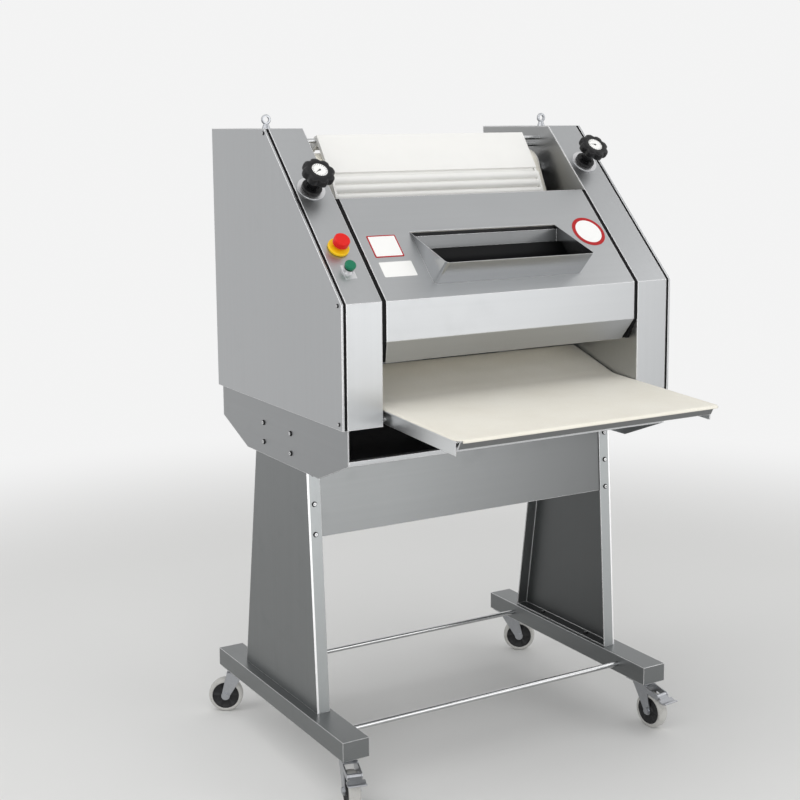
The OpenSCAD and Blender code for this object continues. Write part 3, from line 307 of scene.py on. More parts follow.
sheetLooks = {
    "panelSteel": {"grain": "z", "colour": (0.4, 0.408, 0.416), "rough": 0.36, "streak": 0.035},
    "housingSteel": {
        "grain": "z", "colour": (0.41, 0.418, 0.425), "rough": 0.36, "streak": 0.03, "edge": 0.0035,
    },
    # brighter than the other sheet steel: painted light in the shaded bay; darker towards the top:
    # painted shade
    "innerSteel": {
        "grain": "z", "colour": (0.64, 0.648, 0.65), "rough": 0.36, "streak": 0.03,
        "dim": ("Z", 1.15, 1.35, 0.5),
    },
    "coverSteel": {
        "grain": "x", "colour": (0.41, 0.418, 0.425), "rough": 0.38, "streak": 0.03, "edge": 0.0035,
    },
    # inner parts darker: painted shade; front and back faces brighter and folds near-white: painted
    # highlights
    "legSteel": {
        "grain": "z", "colour": (0.2, 0.208, 0.21), "rough": 0.4, "streak": 0.05, "edge": 0.0029,
        "inside": (0.4725, 0.55), "faces": {"Y": 1.8},
    },
    "beamSteel": {"grain": "y", "colour": (0.2, 0.208, 0.21), "rough": 0.38, "streak": 0.05},
    "cheekSteel": {"grain": "y", "colour": (0.29, 0.297, 0.303), "rough": 0.36, "streak": 0.04},
    # darker colour, and darker again towards +x: painted shade from the tray above
    "apronSteel": {
        "grain": "x", "colour": (0.27, 0.278, 0.28), "rough": 0.4, "streak": 0.04,
        "dim": ("X", -0.25, 0.5, 0.55),
    },
    # side faces brighter: painted light; front and back faces darker: painted shade
    "traySteel": {
        "grain": "y", "colour": (0.41, 0.418, 0.42), "rough": 0.38, "streak": 0.04,
        "faces": {"X": 1.65, "Y": 0.5},
    },
    # darker towards the back: painted shade inside the hopper
    "hopperSteel": {
        "grain": "x", "colour": (0.4, 0.408, 0.415), "rough": 0.2, "streak": 0.04, "edge": 0.001,
        "dim": ("Y", -0.15, -0.088, 0.3),
    },
}
barLooks = {
    "turnedSteel": {"along": "x", "colour": (0.56, 0.565, 0.57), "rough": 0.22},
    "silverPlate": {"along": "z", "colour": (0.68, 0.68, 0.69), "rough": 0.3},
}
zincLooks = {
    "zincPlate": {"colour": (0.47, 0.48, 0.5), "second": (0.36, 0.37, 0.39), "rough": 0.26},
    "boltSteel": {
        "colour": (0.8, 0.805, 0.81), "second": (0.66, 0.665, 0.67), "rough": 0.24,
        # rim: near-black for the painted shade round the head and in the socket
        "rim": (0.02, 0.02, 0.021),
    },
}
rubberLooks = {
    "sealRubber": {
        "colour": (0.005, 0.005, 0.0055), "scuffed": (0.012, 0.012, 0.0125), "rough": 0.6,
    },
    "driveRubber": {"colour": (0.018, 0.018, 0.019), "scuffed": (0.05, 0.05, 0.05), "rough": 0.6},
    "tyreRubber": {"colour": (0.5, 0.495, 0.475), "scuffed": (0.36, 0.355, 0.335), "rough": 0.55},
}
feltLooks = {
    "woolFelt": {
        "colour": (0.85, 0.825, 0.74), "worn": (0.79, 0.755, 0.66), "shadow": (0.68, 0.64, 0.54),
    },
}
plasticLooks = {
    "whiteNylon": {"colour": (0.82, 0.815, 0.79), "rough": 0.42, "drift": 0.95, "skin": 500.0},
    # near-black for the sheet that stands in for the feed slot's shade
    "flapPlastic": {
        "colour": (0.012, 0.012, 0.013), "rough": 0.5, "drift": 0.8, "skin": 600.0, "gloss": 0.2,
    },
    "rollerCoating": {"colour": (0.02, 0.02, 0.021), "rough": 0.36, "skin": 700.0},
    "hubPlastic": {"colour": (0.02, 0.02, 0.021), "rough": 0.42, "skin": 700.0, "gloss": 0.25},
    "knobBlack": {"colour": (0.008, 0.008, 0.009), "rough": 0.3, "skin": 1200.0, "gloss": 0.22},
    "dialWhite": {"colour": (0.86, 0.86, 0.84), "rough": 0.3, "drift": 0.97, "coat": 0.4},
    "markBlack": {"colour": (0.02, 0.02, 0.02), "rough": 0.4},
    "stopYellow": {"colour": (0.88, 0.55, 0.008), "rough": 0.36, "drift": 0.92, "gloss": 0.25},
    "stopRed": {"colour": (0.7, 0.012, 0.008), "rough": 0.34, "drift": 0.9, "gloss": 0.22},
    "startGreen": {"colour": (0.004, 0.17, 0.085), "rough": 0.28, "drift": 0.85, "gloss": 0.3},
    "motorPaint": {"colour": (0.1, 0.14, 0.17), "rough": 0.45, "skin": 300.0, "depth": 0.0002},
    "labelWhite": {"colour": (0.85, 0.85, 0.83), "rough": 0.36, "drift": 0.97, "coat": 0.3},
    "labelRed": {"colour": (0.4, 0.009, 0.011), "rough": 0.5, "drift": 0.95, "gloss": 0.25},
}
makers = (
    (brushedSteel, sheetLooks),
    (turnedSteel, barLooks),
    (zincPlate, zincLooks),
    (rubber, rubberLooks),
    (woolFelt, feltLooks),
    (moulded, plasticLooks),
)
finishes = {name: make(name, look) for make, looks in makers for name, look in looks.items()}
print("finishes made:", len(finishes))

# What each carried-over node is made of
nodeFinish = {
    "panelSteel": ["left_side_panel", "right_side_panel", "back_cover"],
    "cheekSteel": ["base_cheeks"],
    "housingSteel": ["left_housing", "right_housing"],
    "innerSteel": ["left_frame_plate", "right_frame_plate"],
    "coverSteel": ["front_cover", "pressure_board", "base_floor"],
    "legSteel": ["left_leg", "right_leg"],
    "beamSteel": ["left_foot_beam", "right_foot_beam"],
    "apronSteel": ["aprons"],
    "traySteel": ["discharge_tray", "tray_rails"],
    "hopperSteel": ["feed_hopper"],
    "silverPlate": ["scale_plates", "start_base"],
    "turnedSteel": ["tie_rods", "guard_rods", "roller_carriage"]
    + ["belt_top_roller", "belt_drive_roller"],
    "boltSteel": ["stand_bolts", "panel_screws"],
    "zincPlate": ["lifting_eyes", "caster_plates", "motor_pulley"]
    + ["brake_pedal_fl", "brake_pedal_fr"]
    + ["caster_fork_" + corner for corner in corners],
    "sealRubber": ["rubber_seals"],
    "driveRubber": ["drive_belt"],
    "tyreRubber": ["caster_wheel_" + corner for corner in corners],
    "woolFelt": ["tray_felt", "moulding_belt"],
    "whiteNylon": ["belt_guard", "guide_bars"],
    "rollerCoating": ["front_sheeting_roller", "rear_sheeting_roller", "roller_bearings"],
    "knobBlack": ["left_handwheel", "right_handwheel", "spindle_bushes"],
    "dialWhite": ["left_dial", "right_dial"],
    "stopYellow": ["stop_base"],
    "stopRed": ["stop_head"],
    "startGreen": ["start_button"],
    "motorPaint": ["drive_motor"],
}

for finish, names in nodeFinish.items():
    for name in names:
        mesh = nodes[name].data
        mesh.materials.clear()
        mesh.materials.append(finishes[finish].material)
bare = sorted(set(nodes) - {n for names in nodeFinish.values() for n in names})
print("nodes dressed, left bare:", bare)


def linked(name, mesh, body):
    piece = bpy.data.objects.new(name, mesh)
    bpy.context.collection.objects.link(piece)
    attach(piece, body)
    return piece


def plainMesh(name, shape):
    bmesh.ops.recalc_face_normals(shape, faces=shape.faces)
    mesh = bpy.data.meshes.new(name)
    shape.to_mesh(mesh)
    shape.free()
    return mesh


def asPiece(name, shape, finish, body, smooth=True):
    bmesh.ops.remove_doubles(shape, verts=shape.verts, dist=1e-6)
    mesh = plainMesh(name, shape)
    for key in [finish] if isinstance(finish, str) else finish:
        mesh.materials.append(finishes[key].material)
    for face in mesh.polygons:
        face.use_smooth = smooth
    return linked(name, mesh, body)


def skin(*bodies, closeEnds=True):  # a shape that covers each row of equal rings
    shape = bmesh.new()
    for rings in bodies:
        rows = [[shape.verts.new(p) for p in ring] for ring in rings]
        count = len(rows[0])
        for a, b in zip(rows, rows[1:]):
            for i in range(count):
                shape.faces.new((a[i], a[(i + 1) % count], b[(i + 1) % count], b[i]))
        if closeEnds:
            shape.faces.new(rows[0][::-1])
            shape.faces.new(rows[-1])
    return shape


def circleAt(r, h, place, steps, wave=None, rise=None):
    points = []
    for i in range(steps):
        a = 2 * math.pi * i / steps
        far = r if wave is None else wave(a, r)
        high = h if rise is None else h + rise(a)
        points.append(place @ (Vector((far * math.cos(a), far * math.sin(a), high)) / metre))
    return points


def farOut(face, place):  # a face's distance from a place's axis, in millimetres
    return (place.inverted() @ face.calc_center_median()).xy.length * metre


# Felt on the tray: laid on the sheet, slightly uneven, with soft cut edges
trayFelt = {
    "width": 756.0, "thick": 4.0, "front": (-316.0, 969.0), "fall": 2.75, "bend": 89.0,
    "back": 186.0, "rise": 17.0, "bendR": 120.0, "wave": 0.9, "nose": 6.0, "noseSteps": 10,
    "hang": 3.0, "corners": (16.0, 4.0), "steps": 150, "across": 96, "softEdge": 7.0, "droop": 1.8,
    "sink": 0.9, "slow": (0.006, 0.035, 3.1, 0.7), "quick": (0.03, 0.17, 7.7, 0.3),
}


def trayLine(look):
    a, b = math.radians(look["fall"]), math.radians(look["rise"])
    y0, z0 = look["front"]
    flat = (look["bend"] - y0) / math.cos(a)
    total = flat + look["back"]
    cut = look["bendR"] * math.tan((b - a) / 2)

    def onFlat(s):
        return y0 + s * math.cos(a), z0 + s * math.sin(a)

    start, mid = onFlat(flat - cut), onFlat(flat)

    def onRise(t):
        return mid[0] + t * math.cos(b), mid[1] + t * math.sin(b)

    end, points = onRise(cut), []
    for i in range(look["steps"] + 1):
        s = total * i / look["steps"]
        if s < flat - cut:
            p = (*onFlat(s), a)
        elif s > flat + cut:
            p = (*onRise(s - flat), b)
        else:
            u = (s - flat + cut) / (2 * cut)
            ends = zip(start, mid, end)
            q = [(1 - u) ** 2 * c + 2 * u * (1 - u) * d + u * u * e for c, d, e in ends]
            p = (*q, a + (b - a) * u)
        points.append((*p, s))
    r, nose = look["nose"], []  # the front edge turns down over the tray's lip
    for i in range(look["noseSteps"]):
        t = math.pi / 2 * i / look["noseSteps"]
        lean = math.pi / 2 - t * (1 - 2 * a / math.pi)
        nose.append((y0 - r * math.cos(t), z0 - r + r * math.sin(t), lean, 0.0))
    y, z, lean, s = nose[0]
    return [(y, z - look["hang"], lean, s)] + nose + points, total


def makeTrayFelt(look):
    line, total = trayLine(look)
    across, edge, half = look["across"], look["softEdge"], look["width"] / 2
    shape = bmesh.new()
    rows = []
    for i, (y, z, lean, s) in enumerate(line):
        row = []
        left, right = (c - math.sqrt(c**2 - max(0.0, c - s) ** 2) for c in look["corners"])
        x0, x1 = left - half, half - right
        for upper in (True, False):
            for j in range(across + 1):
                x = x0 + (x1 - x0) * j / across
                n = -look["thick"]
                if upper:
                    soft = min(1.0, (x - x0) / edge, (x1 - x) / edge, (total - s) / edge)
                    swell = 0.0
                    for k, m, seed, share in (look["slow"], look["quick"]):
                        swell += share * noise.noise(Vector((x * k, i * m, seed)))
                    n = look["wave"] * swell * soft - look["droop"] * (1 - soft) ** 2 - look["sink"]
                at = spot(x, y - n * math.sin(lean), z + n * math.cos(lean))
                row.append(shape.verts.new(at))
        rows.append(row)
    wide = across + 1
    for a, b in zip(rows, rows[1:]):
        for j in range(across):
            shape.faces.new((a[j], a[j + 1], b[j + 1], b[j]))
            shape.faces.new((a[wide + j + 1], a[wide + j], b[wide + j], b[wide + j + 1]))
        shape.faces.new((a[0], b[0], b[wide], a[wide]))
        shape.faces.new((b[across], a[across], a[wide + across], b[wide + across]))
    for row, back in ((rows[0], False), (rows[-1], True)):
        for j in range(across):
            face = (row[j], row[wide + j], row[wide + j + 1], row[j + 1])
            shape.faces.new(face[::-1] if back else face)
    felt = asPiece("feltOnTray", shape, "woolFelt", "tray")
    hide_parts("tray_felt")
    flat = (look["width"] / metre, total / metre)


makeTrayFelt(trayFelt)
print("tray felt laid")

# Endless felt belt round its two rollers, with a sewn lap joint
mouldingBelt = {
    "width": 704.0, "top": (452.0, 1522.0), "lean": 26.0, "centres": 456.0, "inner": 50.3,
    "thick": 4.0, "steps": 200, "across": 44, "softEdge": 8.0, "droop": 0.9, "sink": 0.8,
    "fuzz": 0.35, "fuzzScale": (0.02, 0.21, 1.9), "lapAt": 0.2, "lapSkew": 0.00008, "lapDeep": 0.6,
    "lapWide": 5.0,
}


def makeMouldingBelt(look):
    a = math.radians(look["lean"])
    down, out = Vector((-math.sin(a), -math.cos(a))), Vector((-math.cos(a), math.sin(a)))
    top, run, inner = Vector(look["top"]), look["centres"], look["inner"]
    low = top + run * down
    bend = math.pi * inner
    total = 2 * run + 2 * bend
    steps, across, half = look["steps"], look["across"], look["width"] / 2
    k, m, seed = look["fuzzScale"]

    def at(s, n):  # s round the loop, n out of it
        if s < run:
            base, far = top + s * down, out
        elif s < run + bend:
            w = (s - run) / inner
            base, far = low, out * math.cos(w) + down * math.sin(w)
        elif s < 2 * run + bend:
            base, far = low - (s - run - bend) * down, -out
        else:
            w = (s - 2 * run - bend) / inner
            base, far = top, -out * math.cos(w) - down * math.sin(w)
        return base + (inner + n) * far

    rings = []
    for j in range(steps):
        ring = []
        for corner in range(2 * (across + 1)):
            upper = corner <= across
            i = corner if upper else 2 * across + 1 - corner
            x = -half + look["width"] * i / across
            n = 0.0
            if upper:
                soft = min(1.0, (half - abs(x)) / look["softEdge"])
                fuzz = look["fuzz"] * noise.noise(Vector((x * k, j * m, seed)))
                n = look["thick"] - look["sink"] + fuzz - look["droop"] * (1 - soft) ** 2
                lap = abs(j / steps - look["lapAt"] - look["lapSkew"] * x) * total
                n -= look["lapDeep"] * math.exp(-((lap / look["lapWide"]) ** 2))
            ring.append(spot(x, *at(total * j / steps, n)))
        rings.append(ring)
    shape = skin(rings + [rings[0]], closeEnds=False)
    belt = asPiece("feltBelt", shape, "woolFelt", "machine")
    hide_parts("moulding_belt")


makeMouldingBelt(mouldingBelt)
print("felt belt made")

# White web that joins the guide bars to each other and to the guard, inside the bars
guideWeb = {
    "half": 315.0, "thick": 2.4,
    "line": ((381.3, 1528.7), (369.1, 1506.8), (347.7, 1462.7), (344.6, 1456.4)), "steps": 12,
}


def makeGuideWeb(look):
    line, steps = look["line"], look["steps"]
    last, loop = len(line) - 1, []
    for side in (1, -1):
        for i in range(len(line))[::side]:
            a, b = line[max(0, i - 1)], line[min(last, i + 1)]
            run = Vector((b[0] - a[0], b[1] - a[1])).normalized()
            reach = side * look["thick"] / 2
            loop.append((line[i][0] + reach * run.y, line[i][1] - reach * run.x))
    places = [look["half"] * i / steps for i in range(-steps, steps + 1)]
    shape = skin([[spot(x, y, z) for y, z in loop] for x in places])
    asPiece("guideWeb", shape, "whiteNylon", "machine", smooth=False)


makeGuideWeb(guideWeb)
print("guide web made")

# Lobed handwheels on threaded spindles. Pairs are a radius and a distance from the nearer face
handwheel = {
    "r": 42.0, "lobes": 8, "notch": 6.0, "notchSharp": 2.2, "notchFade": 1.5, "thick": 24.0,
    "top": 68.0, "middle": 0.02, "dialR": 22.4, "dialLip": ((-0.4, 2.0), (0.0, 0.5), (0.8, 0.0)),
    "shoulder": (29.0, 0.2), "rim": ((34.0, 0.6), (38.5, 1.8), (41.0, 4.2), (42.0, 8.0)),
    "under": (27.0, 0.1),
    "neck": ((26.0, 0.5), (22.0, 4.0), (18.5, 12.0), (15.5, 22.0), (14.0, 28.0)), "neckR": 13.0,
    "neckLow": 10.3, "neckEdge": 1.0, "steps": 96, "spindleR": 8.0, "spindleSteps": 24,
    "threadFrom": 8.0, "threadDeep": 0.9, "pitch": 2.0, "tip": 1.5, "tipLong": 1.0,
    "depth": 165.0,
}
wheelSpots = {"left": (-machine["bayX"], 360.0), "right": (machine["bayX"], 426.0)}


def makeHandwheel(side, look):
    place = onSlope(*wheelSpots[side])
    steps, dialR, body = look["steps"], look["dialR"], side + "_handwheel"

    def lobed(a, r):
        share = max(0.0, (r - dialR) / (look["r"] - dialR))
        dip = (0.5 - 0.5 * math.cos(look["lobes"] * a)) ** look["notchSharp"]
        return r - look["notch"] * dip * share ** look["notchFade"]

    high, low = look["top"], look["top"] - look["thick"]
    outline = [(dialR + k, high - h) for k, h in look["dialLip"]]
    outline += [(r, high - h) for r, h in (look["shoulder"], *look["rim"])]
    outline += [(r, low + h) for r, h in (*look["rim"][::-1], look["under"])]
    neckR, neckLow, edge = look["neckR"], look["neckLow"], look["neckEdge"]
    neck = [(r, low - h) for r, h in look["neck"]]
    neck += [(neckR, neckLow + edge), (neckR - edge, neckLow)]
    rings = [circleAt(look["middle"], outline[0][1], place, steps)]
    rings += [circleAt(r, h, place, steps, lobed) for r, h in outline]
    rings += [circleAt(r, h, place, steps) for r, h in neck]
    wheel = asPiece(side + "Handwheel", skin(rings), "knobBlack", body)
    r, h = look["spindleR"], neckLow - look["threadFrom"]
    thread = [(r, low)]
    while h > look["tipLong"] - look["depth"]:  # thread crests and roots
        thread += [(r, h), (r - look["threadDeep"], h - look["pitch"] / 2)]
        h -= look["pitch"]
    thread.append((r - look["tip"], -look["depth"]))
    shape = skin([circleAt(r, h, place, look["spindleSteps"]) for r, h in thread])
    spindle = asPiece(side + "Spindle", shape, "turnedSteel", body)
    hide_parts(side + "_handwheel")


for side in wheelSpots:
    makeHandwheel(side, handwheel)
print("handwheels made")


# Geometry node trees
def newTree(name, inputs):
    tree = bpy.data.node_groups.new(name, "GeometryNodeTree")
    tree.is_modifier = True
    for label, kind in inputs.items():
        tree.interface.new_socket(label, in_out="INPUT", socket_type="NodeSocket" + kind)
    tree.interface.new_socket("Geometry", in_out="OUTPUT", socket_type="NodeSocketGeometry")

    def add(kind, settings=None, sockets=None, out=0):
        made = tree.nodes.new(kind)
        for key, value in (settings or {}).items():
            setattr(made, key, value)
        for key, value in (sockets or {}).items():
            if isinstance(value, bpy.types.NodeSocket):
                tree.links.new(value, made.inputs[key])
            else:
                made.inputs[key].default_value = value
        return made.outputs[out] if made.outputs else None

    given = tree.nodes.new("NodeGroupInput").outputs
    return tree, add, given


def copiesOnPoints(add, given, spread):  # copies made real, in the given material
    copies = add("GeometryNodeInstanceOnPoints", None, spread)
    real = add("GeometryNodeRealizeInstances", None, {"Geometry": copies})
    paint = {"Geometry": real, "Material": given["Material"]}
    add("NodeGroupOutput", None, {0: add("GeometryNodeSetMaterial", None, paint)})


def runTree(name, mesh, tree, values):  # a plain mesh from the tree on that mesh
    carrier = bpy.data.objects.new(name + "Carrier", mesh)
    bpy.context.collection.objects.link(carrier)
    modifier = carrier.modifiers.new("nodes", "NODES")
    modifier.node_group = tree
    sockets = {i.name: i.identifier for i in tree.interface.items_tree if i.in_out == "INPUT"}
    for label, value in values.items():
        modifier[sockets[label]] = value
    bpy.context.view_layer.update()
    result = carrier.evaluated_get(bpy.context.evaluated_depsgraph_get())
    made = bpy.data.meshes.new_from_object(result)
    made.name = name
    bpy.data.objects.remove(carrier)
    return made


# Fasteners: one modelled screw set on points that carry their direction
def fastenerTree():
    inputs = {"Geometry": "Geometry", "Fastener": "Object", "Size": "Float", "Turn Seed": "Int"}
    tree, add, given = newTree("fasteners", {**inputs, "Material": "Material"})
    vector = {"data_type": "FLOAT_VECTOR"}
    facing = add("GeometryNodeInputNamedAttribute", vector, {"Name": "facing"})
    aim = add("FunctionNodeAlignRotationToVector", {"axis": "Z"}, {"Vector": facing})
    fullTurn = {2: 0.0, 3: 6.283, "Seed": given["Turn Seed"]}
    spin = add("FunctionNodeRandomValue", {"data_type": "FLOAT"}, fullTurn, out=1)
    turned = {"Rotation": aim, "Rotate By": add("ShaderNodeCombineXYZ", None, {"Z": spin})}
    roll = add("FunctionNodeRotateRotation", {"rotation_space": "LOCAL"}, turned)
    part = add("GeometryNodeObjectInfo", None, {"Object": given["Fastener"]}, out="Geometry")
    dots = add("GeometryNodeMeshToPoints", None, {"Mesh": given["Geometry"]})
    spread = {"Points": dots, "Instance": part, "Rotation": roll, "Scale": given["Size"]}
    copiesOnPoints(add, given, spread)
    return tree


boltHead = {
    "r": 7.0, "high": 4.0,
    "crown": ((0.55, 1.0), (0.74, 0.9), (0.9, 0.62), (0.985, 0.25), (1.0, 0.0)), "middle": 0.05,
    "socket": 2.6, "deep": 2.4, "shankR": 4.0, "shank": 10.0, "steps": 24, "unshadedBand": (0.1, 0.7),
}


def modelBolt(look):  # button head with a hexagon socket
    here = Matrix.Identity(4)
    r, high, steps = look["r"], look["high"], look["steps"]
    floor = high - look["deep"]

    def hexagon(a, far):
        return far * math.cos(math.pi / 6) / math.cos((a % (math.pi / 3)) - math.pi / 6)

    rings = [circleAt(look["middle"], floor, here, steps)]
    rings += [circleAt(look["socket"], h, here, steps, hexagon) for h in (floor, high)]
    rings += [circleAt(k * r, z * high, here, steps) for k, z in look["crown"]]
    rings += [circleAt(look["shankR"], h, here, steps) for h in (0, -look["shank"])]
    mesh = plainMesh("boltModel", skin(rings))
    # rim marks where the painted shade goes: the head's edge and its socket, outside the unshaded
    # band
    rim = mesh.attributes.new("rim", "FLOAT", "POINT")
    near, far = look["unshadedBand"]
    for corner in mesh.vertices:
        out = corner.co.xy.length * metre
        rim.data[corner.index].value = float(out > far * r or out < near * r)
    model = bpy.data.objects.new("boltModel", mesh)
    bpy.context.collection.objects.link(model)
    return model


stand = {
    "houseX": 477.0, "legX": 456.0, "beamTop": 177.0, "legFront": 189.0, "legRear": 621.0,
    "leanFront": 0.0615, "leanRear": 0.1537, "floorZ": 856.0, "plate": 3.0,
    "apronBolts": (636.0, 713.0, 790.0), "cheekBolts": (76.0, -50.0), "cheekRows": (-27.0, 24.0),
    "footBolts": 110.0,
}
panelScrews = {
    "x": 490.0, "places": ((404.0, 1629.0), (18.0, 1236.0), (18.0, 956.0)), "size": 0.72,
}


def frontEdge(z):
    return stand["legFront"] + (z - stand["beamTop"]) * stand["leanFront"]


def rearEdge(z):
    return stand["legRear"] - (z - stand["beamTop"]) * stand["leanRear"]


def boltPoints():
    found = []
    a, b = math.atan(stand["leanFront"]), math.atan(stand["leanRear"])
    ahead, behind = Vector((0, -math.cos(a), math.sin(a))), Vector((0, math.cos(b), math.sin(b)))
    floor, plateTop, foot = stand["floorZ"], stand["beamTop"] + stand["plate"], stand["footBolts"]
    fromFront, fromRear = stand["cheekBolts"]
    for side in (-1, 1):
        x = side * stand["legX"]
        for y in (frontEdge(floor) + fromFront, rearEdge(floor) + fromRear):
            for up in stand["cheekRows"]:
                at = spot(side * stand["houseX"], y, floor + up)
                found.append((at, Vector((side, 0, 0))))
        for z in stand["apronBolts"]:
            found.append((spot(x, frontEdge(z), z), ahead))
            found.append((spot(x, rearEdge(z), z), behind))
        for y in (stand["legFront"] + foot, stand["legRear"] - foot):
            found.append((spot(x, y, plateTop), Vector((0, 0, 1))))
    return found


def screwPoints():
    found = []
    for side in (-1, 1):
        for y, z in panelScrews["places"]:
            found.append((spot(side * panelScrews["x"], y, z), Vector((side, 0, 0))))
    return found


def pointMesh(name, points):
    mesh = bpy.data.meshes.new(name)
    mesh.from_pydata([p for p, way in points], [], [])
    facing = mesh.attributes.new("facing", "FLOAT_VECTOR", "POINT")
    for i, (p, way) in enumerate(points):
        facing.data[i].vector = way
    return mesh


def makeFasteners():
    tree, model = fastenerTree(), modelBolt(boltHead)
    kinds = (
        ("standBolts", boltPoints(), 1.0, 4, "stand_bolts"),
        ("panelScrews", screwPoints(), panelScrews["size"], 9, "panel_screws"),
    )
    for name, points, size, seed, node in kinds:
        values = {"Fastener": model, "Size": size, "Turn Seed": seed}
        values["Material"] = finishes["boltSteel"].material
        mesh = runTree(name, pointMesh(name + "Points", points), tree, values)
        piece = linked(name, mesh, "machine")
        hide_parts(node)
        print(name, "set:", len(points))
    bpy.data.objects.remove(model)


makeFasteners()

# Dials: white face in a thin dark ring, marks all round and a pointer
dialFace = {
    "face": ((0.05, 67.4), (8.0, 67.4), (19.6, 67.4), (20.0, 67.5), (20.3, 68.3), (20.8, 68.5)),
    "ring": ((21.4, 68.4), (21.9, 67.9), (22.0, 67.0), (22.0, 66.0), (10.0, 66.0)),
    "dark": (19.9, 22.5), "steps": 64, "marks": 20, "markIn": 15.5, "markOut": 19.0,
    "markWide": 0.9, "markThick": 0.3, "markHigh": 67.5,
    "pointer": ((0.9, -3.5), (1.5, 0.0), (0.25, 12.5)), "pointerHigh": (67.3, 68.0),
    "pointerTurn": {"left": 120.0, "right": 75.0}, "cap": ((2.6, 67.3), (2.6, 68.3), (2.0, 68.7)),
    "capSteps": 24,
}


def markTree():
    lengths = ("Radius", "Length", "Width", "Height")
    inputs = {"Geometry": "Geometry", "Count": "Int", **dict.fromkeys(lengths, "Float")}
    tree, add, given = newTree("dialMarks", {**inputs, "Material": "Material"})
    count = {"Vertices": given["Count"], "Radius": given["Radius"]}
    ring = add("GeometryNodeMeshCircle", {"fill_type": "NONE"}, count)
    sides = {"X": given["Length"], "Y": given["Width"], "Z": given["Height"]}
    bar = add("GeometryNodeMeshCube", None, {"Size": add("ShaderNodeCombineXYZ", None, sides)})
    where = add("GeometryNodeInputPosition")
    aim = add("FunctionNodeAlignRotationToVector", {"axis": "X"}, {"Vector": where})
    dots = add("GeometryNodeMeshToPoints", None, {"Mesh": ring})
    copiesOnPoints(add, given, {"Points": dots, "Instance": bar, "Rotation": aim})
    return tree


def makeDials(look):
    tree = markTree()
    markIn, markOut = look["markIn"], look["markOut"]
    values = {
        "Count": look["marks"],
        "Radius": (markIn + markOut) / 2 / metre,
        "Length": (markOut - markIn) / metre,
        "Width": look["markWide"] / metre,
        "Height": look["markThick"] / metre,
        "Material": finishes["markBlack"].material,
    }
    inner, outer = look["dark"]
    flat = [(-a, b) for a, b in look["pointer"]] + list(look["pointer"][::-1])
    for side, (x, s) in wheelSpots.items():
        place, body = onSlope(x, s), side + "_handwheel"
        outline = look["face"] + look["ring"]
        shape = skin([circleAt(r, h, place, look["steps"]) for r, h in outline])
        for face in shape.faces:
            face.material_index = int(inner < farOut(face, place) < outer)
        dial = asPiece(side + "Dial", shape, ["dialWhite", "markBlack"], body)
        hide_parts(side + "_dial")
        mesh = runTree(side + "DialMarks", bpy.data.meshes.new("empty"), tree, values)
        mesh.transform(place @ Matrix.Translation((0, 0, look["markHigh"] / metre)))
        linked(side + "DialMarks", mesh, body)
        turn = place @ Matrix.Rotation(math.radians(look["pointerTurn"][side]), 4, "Z")
        levels = look["pointerHigh"]
        hand = [[turn @ (Vector((a, b, h)) / metre) for a, b in flat] for h in levels]
        cap = [circleAt(r, h, place, look["capSteps"]) for r, h in look["cap"]]
        pointer = asPiece(side + "DialPointer", skin(hand, cap), "markBlack", body, smooth=False)


makeDials(dialFace)
print("dials made")

# Caster wheels: a pale tyre on a dark centre with moulded spokes. Pairs are a radius and a depth
casterWheel = {
    "half": 15.0, "hubR": 13.0, "rimR": 37.0,
    "centre": ((6.3, 0.4), (12.0, 0.2), (13.0, 1.0), (13.8, 4.4), (15.0, 5.0), (35.5, 5.0)),
    "rim": ((36.6, 4.2), (37.6, 0.7), (38.6, 0.1)),
    "tyre": ((42.0, 0.2), (45.0, 1.6), (47.1, 4.4), (47.9, 8.0), (48.0, 12.0)), "tyreFrom": 37.2,
    "spokes": 6, "rib": 2.4, "steps": 96,
}
casterHeading = {"fl": 255.0, "fr": 275.0, "rl": 150.0, "rr": 323.0}


def makeCasterWheel(corner, look):
    low, high = (Vector(p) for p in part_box("caster_wheel_" + corner))
    heading = Matrix.Rotation(math.radians(casterHeading[corner]), 4, "Z")
    place = Matrix.Translation((low + high) / 2) @ heading @ Matrix.Rotation(math.pi / 2, 4, "X")
    outline = look["centre"] + look["rim"] + look["tyre"]
    rings = []
    for side in (1, -1):

        def spoke(a):
            return side * look["rib"] * max(0.0, math.cos(look["spokes"] * a)) ** 2

        half = []
        for r, deep in outline:
            ribbed = spoke if look["hubR"] < r < look["rimR"] else None
            h = side * (look["half"] - deep)
            half.append(circleAt(r, h, place, look["steps"], rise=ribbed))
        rings += half[::side]
    shape = skin(rings + [rings[0]], closeEnds=False)
    for face in shape.faces:
        face.material_index = int(farOut(face, place) <= look["tyreFrom"])
    name, body = "casterWheel" + corner.capitalize(), "wheel_" + corner
    wheel = asPiece(name, shape, ["tyreRubber", "hubPlastic"], body)
    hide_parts("caster_wheel_" + corner)


for corner in casterHeading:
    makeCasterWheel(corner, casterWheel)
print("caster wheels made")

# Black lining in the open base, standing in for its shade: floor, rear wall and both sides in one
# folded sheet
baseMat = {
    "halfX": 472.5, "front": 16.0, "back": 725.0, "low": 867.4, "high": 940.0, "thick": 1.6,
}


def makeBaseShadeLining(look):
    x, t, low, high, back = (look[k] for k in ("halfX", "thick", "low", "high", "back"))
    outer = [(-x, high), (-x, low), (x, low), (x, high)]
    inner = [(x - t, high), (x - t, low + t), (t - x, low + t), (t - x, high)]
    wall = [(t - x, low + t), (x - t, low + t), (x - t, high), (t - x, high)]
    folded = [[spot(a, y, z) for a, z in outer + inner] for y in (look["front"], back)]
    rear = [[spot(a, y, z) for a, z in wall] for y in (back - t, back)]
    shape = skin(folded, rear)
    asPiece("baseMat", shape, "sealRubber", "machine", smooth=False)


makeBaseShadeLining(baseMat)
print("base lined")

